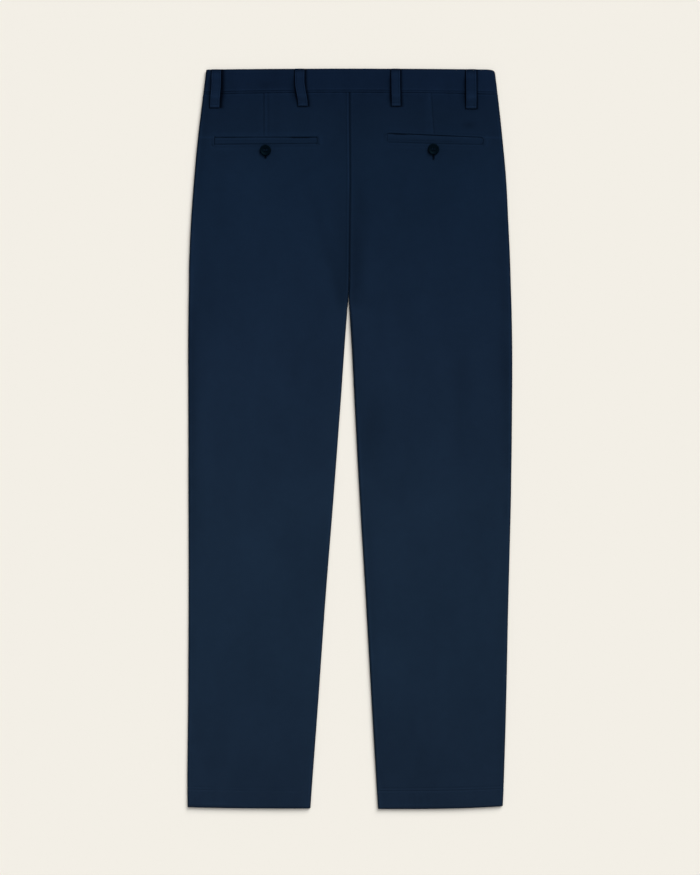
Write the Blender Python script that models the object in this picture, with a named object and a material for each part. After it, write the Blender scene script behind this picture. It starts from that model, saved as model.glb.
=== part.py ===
"""Chino trousers laid flat on their front, back panels up, waist towards +Y.

Every length is in millimetres until place() turns it into metres. A point on the garment is
named by x, its distance from the centre-back seam line (wearer's left is -x), by down, its
distance below the top edge of the waistband, and by z, its height above the surface below.
"""
import math
from collections import namedtuple

import bmesh
import bpy

MM = 0.001

# ---------------------------------------------------------------- driving dimensions, in mm
LENGTH = 1051.5        # top of the waistband to the lowest point of the hems
CLOTH = 1.2            # wall of a panel
BAND_CLOTH = 1.5       # wall of the waistband, which is two layers and an interlining
SEAM = 0.3             # gap between two pieces that a seam joins or that lie on each other
BAND_DEPTH = 33.4
BAND_PROUD = 0.4       # the back band stands this far above the panels
HEM_DEPTH = 23.0
HEM_CLOTH = 0.9
WAIST_DIP_TOP = 1.2    # the waistband's top edge curves down towards the sides
WAIST_DIP_SEAM = 2.6   # and so does its lower seam
WAIST_HALF = 200.0
WAIST_DIP_GONE = 112.0
FLY_HUMP = 0.6         # rise of the back over the closed front at the waist
HUMP_FULL_X, HUMP_GONE_X = 20.0, 56.0
HUMP_FULL_DOWN, HUMP_GONE_DOWN = 30.0, 90.0
VALLEY_WIDTH = 13.0    # soft valley along the centre-back seam and the inseams
CROWN = 0.5            # how far the back panels fall towards the side folds
CROWN_WIDTH = 14.0

# Outline and layers at a few distances below the top edge. left_* and right_* are x of the side
# folds and of the inner edges, which meet in the seat seam above the crotch. stack is the height
# of the layers, valley how far the cloth sinks at the inner edge, and roll how far that edge is
# turned over, from 0, flat, to 1, a full quarter turn.
Section = namedtuple("Section", "down left_side left_inner right_inner right_side stack valley roll")
SECTIONS = (
    Section(0, -201.9, 1.4, 1.4, 207.3, 6.8, 0.0, 0.20),
    Section(44, -207.5, 1.4, 1.4, 212.7, 6.8, 0.2, 0.20),
    Section(101, -214.0, 1.3, 1.3, 218.5, 6.8, 0.4, 0.20),
    Section(158, -219.2, 1.1, 1.1, 223.7, 6.8, 0.6, 0.22),
    Section(215, -223.5, 0.8, 0.8, 226.6, 6.8, 1.0, 0.30),
    Section(272, -226.1, 0.3, 0.3, 229.2, 6.7, 1.3, 0.55),
    Section(323, -226.9, -0.6, 0.5, 230.9, 6.4, 1.1, 0.96),
    Section(343, -227.3, -1.8, 1.9, 231.5, 6.2, 0.9, 1.00),
    Section(399, -227.9, -6.1, 5.0, 232.4, 5.6, 0.7, 1.00),
    Section(470, -227.8, -11.2, 8.7, 232.2, 5.2, 0.5, 1.00),
    Section(612, -227.5, -21.9, 16.3, 230.3, 5.0, 0.5, 1.00),
    Section(754, -227.0, -33.1, 24.9, 226.9, 5.0, 0.5, 1.00),
    Section(896, -227.6, -42.9, 32.9, 223.8, 5.0, 0.5, 1.00),
    Section(1010, -228.7, -51.3, 39.6, 220.5, 5.3, 0.4, 1.00),
    Section(1052, -228.3, -54.3, 42.4, 218.6, 5.8, 0.3, 1.00),
)

# The largest soft folds of the back, ridges above 0 and troughs below it, each along a line.
FOLD_END_FADE = 30.0
Fold = namedtuple("Fold", "x_start down_start x_end down_end half_width height")
BACK_FOLDS = (
    Fold(-146, 165, -140, 250, 30, 0.35),
    Fold(-117, 345, -112, 440, 26, 0.45),
    Fold(-212, 300, -214, 640, 15, -0.45),
    Fold(-150, 560, -140, 720, 34, 0.45),
    Fold(-120, 760, -150, 880, 30, -0.35),
    Fold(107, 350, 136, 462, 15, 0.70),
    Fold(159, 440, 156, 540, 13, -0.65),
    Fold(34, 495, 37, 560, 11, -0.80),
    Fold(219, 385, 219, 450, 12, -0.50),
    Fold(120, 640, 150, 740, 32, 0.45),
    Fold(80, 900, 95, 1000, 30, -0.40),
)

# What lifts the front off the surface: the waist button and the two front belt loops under it.
Lift = namedtuple("Lift", "x half_width fade height full_to gone_by")
FRONT_LIFTS = (
    Lift(-8, 11, 56, 2.2, 28, 52),
    Lift(-105, 25, 26, 1.5, 58, 88),
    Lift(105, 25, 26, 1.5, 58, 88),
)

# Each hem's lowest edge rises by base all along and by side more at the side fold.
Hem = namedtuple("Hem", "base side")
LEFT_HEM = Hem(0.8, 1.8)
RIGHT_HEM = Hem(0.0, 3.6)
HEM_RISE_FROM = 940.0

# Front opening: the wearer's left side laps over the right one.
FLY_LAP_X = 4.5
FLY_UNDER_X = -3.0
FLY_SETTLED = 226.0
FLY_CURVE_START = 186.0
FLY_CURVE_END = 205.0
FRONT_ROLL_START = 262.0   # the fronts' inner edges lie flat by the fly and roll towards the crotch
FRONT_ROLL_FULL = 330.0
BAND_UNDER_X = -36.0
UNDERLAP_START = 8.0   # past the lapped edge, where the right front comes back down
UNDERLAP_FADE = 18.0

# Slanted front pockets: inset of the mouth from the side fold at its two ends.
MOUTH_TOP_INSET = 35.0
MOUTH_FOOT_INSET = 4.0
MOUTH_FOOT = 186.0
MOUTH_CLOSED = 205.0
POCKET_UNDERLAP = 12.0
POCKET_DROP = 1.1      # fall of the side piece from under the front to the surface below
POCKET_SETTLE_FROM = 0.6
POCKET_SETTLED = 12.6

Loop = namedtuple("Loop", "name x_top x_foot foot width")
BACK_LOOPS = (
    Loop("belt_loop_back_side_left", -187.3, -189.2, 55.0, 14.0),
    Loop("belt_loop_back_left", -69.1, -64.8, 52.5, 13.5),
    Loop("belt_loop_back_right", 67.4, 67.4, 52.5, 12.8),
    Loop("belt_loop_back_side_right", 174.7, 174.9, 56.0, 14.0),
)
FRONT_LOOPS = (
    Loop("belt_loop_front_left", -105.0, -105.0, 54.0, 13.5),
    Loop("belt_loop_front_right", 105.0, 105.0, 54.0, 13.5),
)
LOOP_CLOTH = 1.4
LOOP_CLEAR = 4.9       # between the belt loop and the waistband, where a belt goes
LOOP_TACK = 5.0        # length sewn down at each end
LOOP_RAMP = 7.0
LOOP_INSET = 0.4       # its top end, below the waistband's
LOOP_MIDDLE = 25.0
LOOP_LEAN_FROM = 18.0
LOOP_SETTLE = 3.0      # length over which it steps down off the waistband
FRONT_LOOP_CLOTH = 1.2
FRONT_LOOP_INSET = 2.0

Welt = namedtuple("Welt", "name x_start top_start foot_start x_end top_end foot_end")
WELTS = (
    Welt("back_pocket_welt_left", -190.1, 97.2, 106.0, -44.0, 97.2, 106.0),
    Welt("back_pocket_welt_right", 53.8, 91.8, 102.8, 192.2, 97.8, 106.6),
)
WELT_CLOTH = 1.0
WELT_COLUMNS = 8

Button = namedtuple("Button", "name x down radius thickness")
BACK_BUTTONS = (
    Button("back_pocket_button_left", -117.9, 116.1, 8.0, 2.8),
    Button("back_pocket_button_right", 120.7, 114.7, 8.0, 2.8),
)
WAIST_BUTTON = Button("waist_button", -8.0, 17.0, 8.5, 1.9)
BUTTON_SIDES = 24

ZIP_CENTRE_X = -8.0
ZIP_TOP = 52.0
ZIP_FOOT = 190.0
ZIP_HALF_WIDTH = 14.0
ZIP_CLOTH = 0.8
ZIP_LEVEL = 3.3        # height of the tape's lower face
SLIDER_X = -11.0
SLIDER_TOP = 56.0
SLIDER_LENGTH = 10.0
SLIDER_HALF_WIDTH = 4.0
SLIDER_FOOT_HALF_WIDTH = 2.8
SLIDER_THICKNESS = 1.4
TAB_NECK = 1.0
TAB_LENGTH = 18.0
TAB_HALF_WIDTH = 2.2
TAB_THICKNESS = 0.8

# ---------------------------------------------------------------- mesh density
ROLL_COLUMNS = 3       # columns round each folded edge
FLAT_COLUMNS = 8       # columns between them
LAST_COLUMN = 2 * ROLL_COLUMNS + FLAT_COLUMNS
LEAST_RADIUS = 1.0     # width given to the edge columns where an edge is left flat
HEM_TURN_INSET = 0.15  # columns between a panel's rolled edge and the hem's turned-up layer
Stretch = namedtuple("Stretch", "end steps")
PANEL_STRETCHES = (
    Stretch(MOUTH_FOOT, 6),
    Stretch(MOUTH_CLOSED, 3),
    Stretch(300.0, 5),
    Stretch(343.0, 4),
    Stretch(399.0, 2),
    Stretch(LENGTH - HEM_DEPTH, 12),
    Stretch(LENGTH, 1),
)

# ---------------------------------------------------------------- finishes
Finish = namedtuple("Finish", "name colour roughness metallic")
TWILL = Finish("navy_twill", (0.0095, 0.0200, 0.0410), 0.85, 0.0)
HORN = Finish("dark_button", (0.0040, 0.0060, 0.0100), 0.35, 0.0)
TAPE = Finish("zip_tape", (0.0070, 0.0120, 0.0240), 0.90, 0.0)
METAL = Finish("zip_metal", (0.3200, 0.2500, 0.1400), 0.40, 1.0)


# ---------------------------------------------------------------- helpers
def clear_scene():
    for obj in list(bpy.data.objects):
        bpy.data.objects.remove(obj, do_unlink=True)


def ease(value, start, end):
    """0 before start, 1 after end, with a smooth step between them."""
    share = min(1.0, max(0.0, (value - start) / (end - start)))
    return share * share * (3.0 - 2.0 * share)


def mix(low, high, share):
    return low + (high - low) * share


def along(column, down):
    """A column of SECTIONS at any distance below the top edge, on a smooth curve."""
    rows = SECTIONS
    last = len(rows) - 1
    down = min(max(down, rows[0].down), rows[last].down)
    start = max(i for i in range(last) if rows[i].down <= down)

    def value(i):
        return getattr(rows[i], column)

    def slope(i):
        before, after = max(i - 1, 0), min(i + 1, last)
        return (value(after) - value(before)) / (rows[after].down - rows[before].down)

    span = rows[start + 1].down - rows[start].down
    t = (down - rows[start].down) / span
    return (
        value(start) * (1 + 2 * t) * (1 - t) ** 2
        + value(start + 1) * (3 - 2 * t) * t ** 2
        + slope(start) * span * t * (1 - t) ** 2
        - slope(start + 1) * span * t ** 2 * (1 - t)
    )


def material(finish):
    found = bpy.data.materials.get(finish.name)
    if found:
        return found
    made = bpy.data.materials.new(finish.name)
    made.use_nodes = True
    shader = made.node_tree.nodes["Principled BSDF"]
    shader.inputs["Base Color"].default_value = (*finish.colour, 1.0)
    shader.inputs["Roughness"].default_value = finish.roughness
    shader.inputs["Metallic"].default_value = finish.metallic
    return made


CENTRE_X = (min(row.left_side for row in SECTIONS) + max(row.right_side for row in SECTIONS)) / 2


def edge_shift(x, down):
    """How much lower than its row a point lies: the waist's dip less the hem's rise."""
    dip_depth = mix(WAIST_DIP_TOP, WAIST_DIP_SEAM, min(down / BAND_DEPTH, 1.0))
    dip = dip_depth * (x / WAIST_HALF) ** 2 * (1 - ease(down, BAND_DEPTH, WAIST_DIP_GONE))
    leg = "left" if x < along("left_inner", down) else "right"
    side, inner = along(leg + "_side", down), along(leg + "_inner", down)
    hem = LEFT_HEM if leg == "left" else RIGHT_HEM
    towards_side = min(1.0, max(0.0, (x - inner) / (side - inner)))
    rise = (hem.base + hem.side * towards_side ** 3) * ease(down, HEM_RISE_FROM, LENGTH)
    return dip - rise


def place(x, down, z, shift_x=None):
    """World position, in metres, of a garment point. shift_x lets a wall's two faces share a row."""
    lower = down + edge_shift(x if shift_x is None else shift_x, down)
    return ((x - CENTRE_X) * MM, (LENGTH / 2 - lower) * MM, z * MM)


def finish_object(name, mesh_builder, finish):
    bmesh.ops.recalc_face_normals(mesh_builder, faces=mesh_builder.faces)
    mesh = bpy.data.meshes.new(name)
    mesh_builder.to_mesh(mesh)
    mesh_builder.free()
    mesh.shade_smooth()
    mesh.set_sharp_from_angle(angle=math.radians(40))
    mesh.materials.append(material(finish))
    obj = bpy.data.objects.new(name, mesh)
    bpy.context.scene.collection.objects.link(obj)
    return obj


def wall(name, grid, finish=TWILL):
    """One closed wall from grid[row][column] = (outer point, inner point)."""
    builder = bmesh.new()
    rows, columns = len(grid), len(grid[0])
    outer = [[builder.verts.new(pair[0]) for pair in row] for row in grid]
    inner = [[builder.verts.new(pair[1]) for pair in row] for row in grid]
    for r in range(rows - 1):
        for c in range(columns - 1):
            for face in (outer, inner):
                builder.faces.new((face[r][c], face[r][c + 1], face[r + 1][c + 1], face[r + 1][c]))
    for c in range(columns - 1):
        for r in (0, rows - 1):
            builder.faces.new((outer[r][c], outer[r][c + 1], inner[r][c + 1], inner[r][c]))
    for r in range(rows - 1):
        for c in (0, columns - 1):
            builder.faces.new((outer[r][c], outer[r + 1][c], inner[r + 1][c], inner[r][c]))
    return finish_object(name, builder, finish)


def steps_between(start, end, count):
    return [mix(start, end, i / count) for i in range(count + 1)]


def panel_rows(top):
    rows = [top]
    for stretch in PANEL_STRETCHES:
        rows += steps_between(rows[-1], stretch.end, stretch.steps)[1:]
    return rows


# ---------------------------------------------------------------- surfaces
def fold_height(x, down):
    """Sum of the soft folds at a point of the back."""
    total = 0.0
    for fold in BACK_FOLDS:
        run_x, run_down = fold.x_end - fold.x_start, fold.down_end - fold.down_start
        length = math.hypot(run_x, run_down)
        off_x, off_down = x - fold.x_start, down - fold.down_start
        lengthwise = (off_x * run_x + off_down * run_down) / length
        across = (off_x * run_down - off_down * run_x) / length
        beyond = max(-lengthwise, lengthwise - length, 0.0)
        off_line = (across / fold.half_width) ** 2 + (beyond / FOLD_END_FADE) ** 2
        total += fold.height * math.exp(-off_line)
    return total


def back_level(x, down, leg):
    """Height of the back panels' outer face before their edges are rolled."""
    side_gap = x - along(leg + "_side", down)
    seam_gap = x - along(leg + "_inner", down)
    hump_across = 1 - ease(abs(x), HUMP_FULL_X, HUMP_GONE_X)
    hump = FLY_HUMP * hump_across * (1 - ease(down, HUMP_FULL_DOWN, HUMP_GONE_DOWN))
    return (
        along("stack", down)
        + hump
        + fold_height(x, down)
        - along("valley", down) * math.exp(-((seam_gap / VALLEY_WIDTH) ** 2))
        - CROWN * math.exp(-((side_gap / CROWN_WIDTH) ** 2))
    )


def band_back_level(x, down):
    leg = "left" if x < 0 else "right"
    return back_level(x, down, leg) + BAND_PROUD


def front_lift(x, down):
    """Height of the front's outer face over the button and loops that it lies on."""
    return sum(
        lift.height
        * (1 - ease(abs(x - lift.x), lift.half_width, lift.half_width + lift.fade))
        * (1 - ease(down, lift.full_to, lift.gone_by))
        for lift in FRONT_LIFTS
    )


def underlap_lift(x, down, cloth):
    """Extra height of the right front, which lies under the left one's lapped edge."""
    settle_from = FLY_LAP_X + UNDERLAP_START
    sideways = 1 - ease(x, settle_from, settle_from + UNDERLAP_FADE)
    return (cloth + SEAM) * sideways * (1 - ease(down, FLY_CURVE_END, FLY_SETTLED))


def front_level(leg, cloth):
    """Height of the outer face of a front panel or front band whose wall is cloth thick."""
    def level(x, down):
        under = underlap_lift(x, down, cloth) if leg == "right" else 0.0
        return front_lift(x, down) + under

    return level


# ---------------------------------------------------------------- panels
class Panel:
    """A cut piece between a side edge and an inner edge, either of which may roll over.

    level(x, down) is its outer face's height, up is 1 where that face looks up and -1 where it
    looks down, and a roll of 1 turns the edge a quarter turn to meet the piece on the other side.
    """

    def __init__(self, side, inner, side_roll, inner_roll, level, up, cloth=CLOTH):
        self.side = side
        self.inner = inner
        self.side_roll = side_roll
        self.inner_roll = inner_roll
        self.level = level
        self.up = up
        self.cloth = cloth

    def radius(self, x, down):
        """Radius of the roll that brings an edge at x to the middle of the stack."""
        middle = along("stack", down) / 2
        return max(LEAST_RADIUS, self.up * (self.level(x, down) - middle) - SEAM / 2)

    def face(self, down, column):
        """(x, z) of the outer face, column 0 at the side edge and LAST_COLUMN at the inner one."""
        side, inner = self.side(down), self.inner(down)
        towards_inner = 1 if inner > side else -1
        side_radius, inner_radius = self.radius(side, down), self.radius(inner, down)
        flat_start = side + towards_inner * side_radius
        flat_end = inner - towards_inner * inner_radius
        fall = 0.0
        if column < ROLL_COLUMNS:
            inward, fall = roll(column / ROLL_COLUMNS, side_radius, self.side_roll(down))
            x = side + towards_inner * inward
        elif column > LAST_COLUMN - ROLL_COLUMNS:
            turn = (LAST_COLUMN - column) / ROLL_COLUMNS
            inward, fall = roll(turn, inner_radius, self.inner_roll(down))
            x = inner - towards_inner * inward
        else:
            share = (column - ROLL_COLUMNS) / FLAT_COLUMNS
            eased = mix(share, (1 - math.cos(math.pi * share)) / 2, 0.5)
            x = mix(flat_start, flat_end, eased)
        return x, self.level(x, down) - self.up * fall

    def normal(self, down, column):
        """Unit normal of the outer face in the plane of the row."""
        step = 0.001
        before = self.face(down, max(column - step, 0))
        after = self.face(down, min(column + step, LAST_COLUMN))
        run, rise = after[0] - before[0], after[1] - before[1]
        towards_inner = 1 if self.inner(down) > self.side(down) else -1
        scale = self.up * towards_inner / math.hypot(run, rise)
        return -rise * scale, run * scale

    def at(self, down, column, depth):
        """(x, z) of the point that lies depth under the outer face."""
        x, z = self.face(down, column)
        normal_x, normal_z = self.normal(down, column)
        return x - normal_x * depth, z - normal_z * depth

    def pair(self, down, column, outer_depth=0.0, inner_depth=None):
        """World positions of the outer and inner faces of a wall laid in this panel's form."""
        row_x = self.face(down, column)[0]
        if inner_depth is None:
            inner_depth = self.cloth
        return tuple(
            place(x, down, z, shift_x=row_x)
            for x, z in (self.at(down, column, depth) for depth in (outer_depth, inner_depth))
        )

    def grid(self, downs):
        return [[self.pair(down, column) for column in range(LAST_COLUMN + 1)] for down in downs]


def roll(turn, radius, amount):
    """How far in from the edge, and below the flat, an edge lies at turn 0 to 1 of its roll."""
    angle = turn * math.pi / 2
    inward = radius * mix(turn, 1 - math.cos(angle), amount)
    return inward, amount * radius * (1 - math.sin(angle))


def edge(leg, part, offset=0.0):
    return lambda down: along(f"{leg}_{part}", down) + offset


def full(down):
    return 1.0


def flat(down):
    return 0.0


def seam_roll(down):
    return min(1.0, max(0.0, along("roll", down)))


def front_seam_roll(down):
    return ease(down, FRONT_ROLL_START, FRONT_ROLL_FULL)


def pocket_mouth(leg):
    """Side edge of a front: slanted across the pocket, then on the side fold below it."""
    inward = 1 if leg == "left" else -1

    def mouth(down):
        share = min(1.0, (down - BAND_DEPTH) / (MOUTH_FOOT - BAND_DEPTH))
        inset = mix(MOUTH_TOP_INSET, MOUTH_FOOT_INSET, share)
        inset *= 1 - ease(down, MOUTH_FOOT, MOUTH_CLOSED)
        return along(leg + "_side", down) + inward * inset

    return mouth


def front_side_roll(down):
    return ease(down, MOUTH_FOOT, MOUTH_CLOSED)


def fly_edge(leg, fly_x):
    """Inner edge of a front: at fly_x beside the opening, then on the seat seam below it."""
    offset = -SEAM / 2 if leg == "left" else SEAM / 2

    def inner(down):
        seam_x = along(leg + "_inner", down) + offset
        return mix(fly_x, seam_x, ease(down, FLY_CURVE_START, FLY_CURVE_END))

    return inner


def back_panels():
    top = BAND_DEPTH + SEAM
    for leg, offset in (("left", -SEAM / 2), ("right", SEAM / 2)):
        panel = Panel(
            side=edge(leg, "side"),
            inner=edge(leg, "inner", offset),
            side_roll=full,
            inner_roll=seam_roll,
            level=lambda x, down, leg=leg: back_level(x, down, leg),
            up=1,
        )
        wall(f"back_panel_{leg}", panel.grid(panel_rows(top)))
        hem_turn(f"hem_turn_back_{leg}", panel)


def front_panels():
    top = BAND_DEPTH + SEAM
    for leg, fly_x in (("left", FLY_LAP_X), ("right", FLY_UNDER_X)):
        panel = Panel(
            side=pocket_mouth(leg),
            inner=fly_edge(leg, fly_x),
            side_roll=front_side_roll,
            inner_roll=front_seam_roll,
            level=front_level(leg, CLOTH),
            up=-1,
        )
        wall(f"front_panel_{leg}", panel.grid(panel_rows(top)))
        hem_turn(f"hem_turn_front_{leg}", panel)


def hem_turn(name, panel):
    """The hem's turned-up layer, inside the leg and clear of its folded edges."""
    outer_depth = CLOTH + SEAM
    first = ROLL_COLUMNS + HEM_TURN_INSET
    last = LAST_COLUMN - ROLL_COLUMNS - HEM_TURN_INSET
    grid = [
        [panel.pair(down, column, outer_depth, outer_depth + HEM_CLOTH)
         for column in steps_between(first, last, FLAT_COLUMNS)]
        for down in (LENGTH - HEM_DEPTH, LENGTH)
    ]
    wall(name, grid)


# ---------------------------------------------------------------- waistband
# Rows of the band and the share of its wall that each one keeps, for a rounded top edge.
BandRow = namedtuple("BandRow", "down share")
BAND_ROWS = (
    BandRow(0.0, 0.5),
    BandRow(0.5, 0.85),
    BandRow(1.3, 1.0),
    BandRow(BAND_DEPTH / 2, 1.0),
    BandRow(BAND_DEPTH, 1.0),
)


def band_wall(name, point_at, columns):
    """A wall whose top edge is rounded, from point_at(down, column, depth) = world position."""
    grid = []
    for row in BAND_ROWS:
        pinch = BAND_CLOTH * (1 - row.share) / 2
        grid.append([
            (point_at(row.down, column, pinch), point_at(row.down, column, BAND_CLOTH - pinch))
            for column in columns
        ])
    wall(name, grid)


def waistband():
    for leg, inner_x in (("left", FLY_LAP_X), ("right", BAND_UNDER_X)):
        front = Panel(
            side=edge(leg, "side"),
            inner=lambda down, inner_x=inner_x: inner_x,
            side_roll=full,
            inner_roll=flat,
            level=front_level(leg, BAND_CLOTH),
            up=-1,
            cloth=BAND_CLOTH,
        )
        band_wall(f"waistband_front_{leg}", panel_point(front), band_columns(2))
    back = Panel(
        side=edge("left", "side"),
        inner=edge("right", "side"),
        side_roll=full,
        inner_roll=full,
        level=band_back_level,
        up=1,
        cloth=BAND_CLOTH,
    )
    band_wall("waistband_back", panel_point(back), band_columns(3))


def band_columns(per_flat_column):
    """Every roll column, and the flat ones split further for the band's humps."""
    flat_part = steps_between(ROLL_COLUMNS, LAST_COLUMN - ROLL_COLUMNS, FLAT_COLUMNS * per_flat_column)
    side_part = list(range(ROLL_COLUMNS))
    inner_part = [LAST_COLUMN - ROLL_COLUMNS + 1 + i for i in range(ROLL_COLUMNS)]
    return side_part + flat_part + inner_part


def panel_point(panel):
    def point_at(down, column, depth):
        row_x = panel.face(down, column)[0]
        x, z = panel.at(down, column, depth)
        return place(x, down, z, shift_x=row_x)

    return point_at


# ---------------------------------------------------------------- front pocket side pieces
def front_pocket_pieces():
    """The cloth seen through the slanted mouth: it runs under the front and round to the side."""
    for leg, inward in (("left", 1), ("right", -1)):
        mouth = pocket_mouth(leg)

        def level(x, down, mouth=mouth, inward=inward):
            outside_mouth = inward * (mouth(down) - x)
            drop = POCKET_DROP * ease(outside_mouth, POCKET_SETTLE_FROM, POCKET_SETTLED)
            return front_lift(x, down) + CLOTH + SEAM - drop

        piece = Panel(
            side=edge(leg, "side"),
            inner=lambda down, mouth=mouth, inward=inward: mouth(down) + inward * POCKET_UNDERLAP,
            side_roll=full,
            inner_roll=flat,
            level=level,
            up=-1,
        )
        rows = steps_between(BAND_DEPTH + SEAM, MOUTH_FOOT - SEAM, 6)
        wall(f"front_pocket_piece_{leg}", piece.grid(rows))


# ---------------------------------------------------------------- belt loops
def loop_strip(loop, cloth, height_under, rows):
    """A strip of cloth down the garment, its under face at height_under(x, down)."""
    grid = []
    for down in rows:
        middle = mix(loop.x_top, loop.x_foot, ease(down, LOOP_LEAN_FROM, loop.foot))
        row = []
        for side in (-0.5, 0.5):
            x = middle + side * loop.width
            z = height_under(middle, down)
            row.append((place(x, down, z + cloth), place(x, down, z)))
        grid.append(row)
    wall(loop.name, grid)


def back_belt_loops():
    for loop in BACK_LOOPS:
        def height_under(x, down, loop=loop):
            band_share = 1 - ease(down, BAND_DEPTH, BAND_DEPTH + LOOP_SETTLE)
            base = back_level(x, down, "left" if x < 0 else "right") + BAND_PROUD * band_share
            rise = ease(down, LOOP_TACK, LOOP_TACK + LOOP_RAMP)
            fall = 1 - ease(down, loop.foot - LOOP_TACK - LOOP_RAMP, loop.foot - LOOP_TACK)
            return base + SEAM + (LOOP_CLEAR - SEAM) * rise * fall

        ramp_top = steps_between(LOOP_TACK, LOOP_TACK + LOOP_RAMP, 3)
        ramp_foot = steps_between(loop.foot - LOOP_TACK - LOOP_RAMP, loop.foot - LOOP_TACK, 3)
        rows = [LOOP_INSET] + ramp_top + [LOOP_MIDDLE] + ramp_foot + [loop.foot]
        loop_strip(loop, LOOP_CLOTH, height_under, rows)


def front_belt_loops():
    for loop in FRONT_LOOPS:
        loop_strip(loop, FRONT_LOOP_CLOTH, lambda x, down: 0.0, [FRONT_LOOP_INSET, loop.foot])


# ---------------------------------------------------------------- back pockets
def welts():
    for welt in WELTS:
        leg = "left" if welt.x_start < 0 else "right"
        grid = []
        for share in (0.0, 1.0):
            row = []
            for x in steps_between(welt.x_start, welt.x_end, WELT_COLUMNS):
                across = (x - welt.x_start) / (welt.x_end - welt.x_start)
                top = mix(welt.top_start, welt.top_end, across)
                foot = mix(welt.foot_start, welt.foot_end, across)
                down = mix(top, foot, share)
                z = back_level(x, down, leg) + SEAM
                row.append((place(x, down, z + WELT_CLOTH), place(x, down, z)))
            grid.append(row)
        wall(welt.name, grid)


# ---------------------------------------------------------------- buttons
# Turned outline of a button from its centre out and back: share of radius, share of thickness.
ButtonPoint = namedtuple("ButtonPoint", "radius height")
BUTTON_OUTLINE = (
    ButtonPoint(0.30, 0.62),
    ButtonPoint(0.62, 0.66),
    ButtonPoint(0.76, 0.94),
    ButtonPoint(0.86, 1.00),
    ButtonPoint(0.96, 0.88),
    ButtonPoint(1.00, 0.60),
    ButtonPoint(0.96, 0.22),
    ButtonPoint(0.80, 0.00),
)


def button(shape, base, up):
    """A turned disc with a raised rim. base is its back's height, up the way its face looks."""
    builder = bmesh.new()
    centre_x, centre_y, _ = place(shape.x, shape.down, 0.0)

    def ring(point):
        z = (base + up * shape.thickness * point.height) * MM
        reach = shape.radius * point.radius * MM
        return [
            builder.verts.new((centre_x + reach * math.cos(a), centre_y + reach * math.sin(a), z))
            for a in (2 * math.pi * i / BUTTON_SIDES for i in range(BUTTON_SIDES))
        ]

    rings = [ring(point) for point in BUTTON_OUTLINE]
    for upper, lower in zip(rings, rings[1:]):
        for i in range(BUTTON_SIDES):
            j = (i + 1) % BUTTON_SIDES
            builder.faces.new((upper[i], upper[j], lower[j], lower[i]))
    builder.faces.new(rings[0])
    builder.faces.new(rings[-1])
    finish_object(shape.name, builder, HORN)


def buttons():
    for shape in BACK_BUTTONS:
        leg = "left" if shape.x < 0 else "right"
        button(shape, back_level(shape.x, shape.down, leg) + SEAM, up=1)
    button(WAIST_BUTTON, WAIST_BUTTON.thickness, up=-1)


# ---------------------------------------------------------------- fly zip
def zip_tape():
    grid = [
        [
            (place(ZIP_CENTRE_X + side * ZIP_HALF_WIDTH, down, ZIP_LEVEL),
             place(ZIP_CENTRE_X + side * ZIP_HALF_WIDTH, down, ZIP_LEVEL + ZIP_CLOTH))
            for side in (-1, 1)
        ]
        for down in (ZIP_TOP, ZIP_FOOT)
    ]
    wall("zip_tape", grid, TAPE)


def zip_slider():
    """Slider and its pull tab, flat between the lapped edge and the tape."""
    back = ZIP_LEVEL - SEAM
    slider_foot = SLIDER_TOP + SLIDER_LENGTH
    outline = (
        (SLIDER_TOP, SLIDER_HALF_WIDTH, SLIDER_THICKNESS),
        (slider_foot, SLIDER_FOOT_HALF_WIDTH, SLIDER_THICKNESS),
        (slider_foot + TAB_NECK, TAB_HALF_WIDTH, TAB_THICKNESS),
        (slider_foot + TAB_LENGTH, TAB_HALF_WIDTH, TAB_THICKNESS),
    )
    grid = [
        [
            (place(SLIDER_X + side * half_width, down, back - thickness),
             place(SLIDER_X + side * half_width, down, back))
            for side in (-1, 1)
        ]
        for down, half_width, thickness in outline
    ]
    wall("zip_slider", grid, METAL)


def build_trousers():
    clear_scene()
    front_panels()
    back_panels()
    waistband()
    front_pocket_pieces()
    front_belt_loops()
    back_belt_loops()
    welts()
    buttons()
    zip_tape()
    zip_slider()


build_trousers()
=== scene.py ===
"""Chino trousers laid flat on their front, back up: cloth, stitching, buttons and zip.

Lengths are in millimetres until metres() turns them into the frame's metres. A point of the
garment is named by x, its distance from the centre-back seam (wearer's left is -x), by down, its
distance below the top edge of the waistband, and by z, its height above the surface it lies on.
"""
import math
from collections import namedtuple

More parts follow.
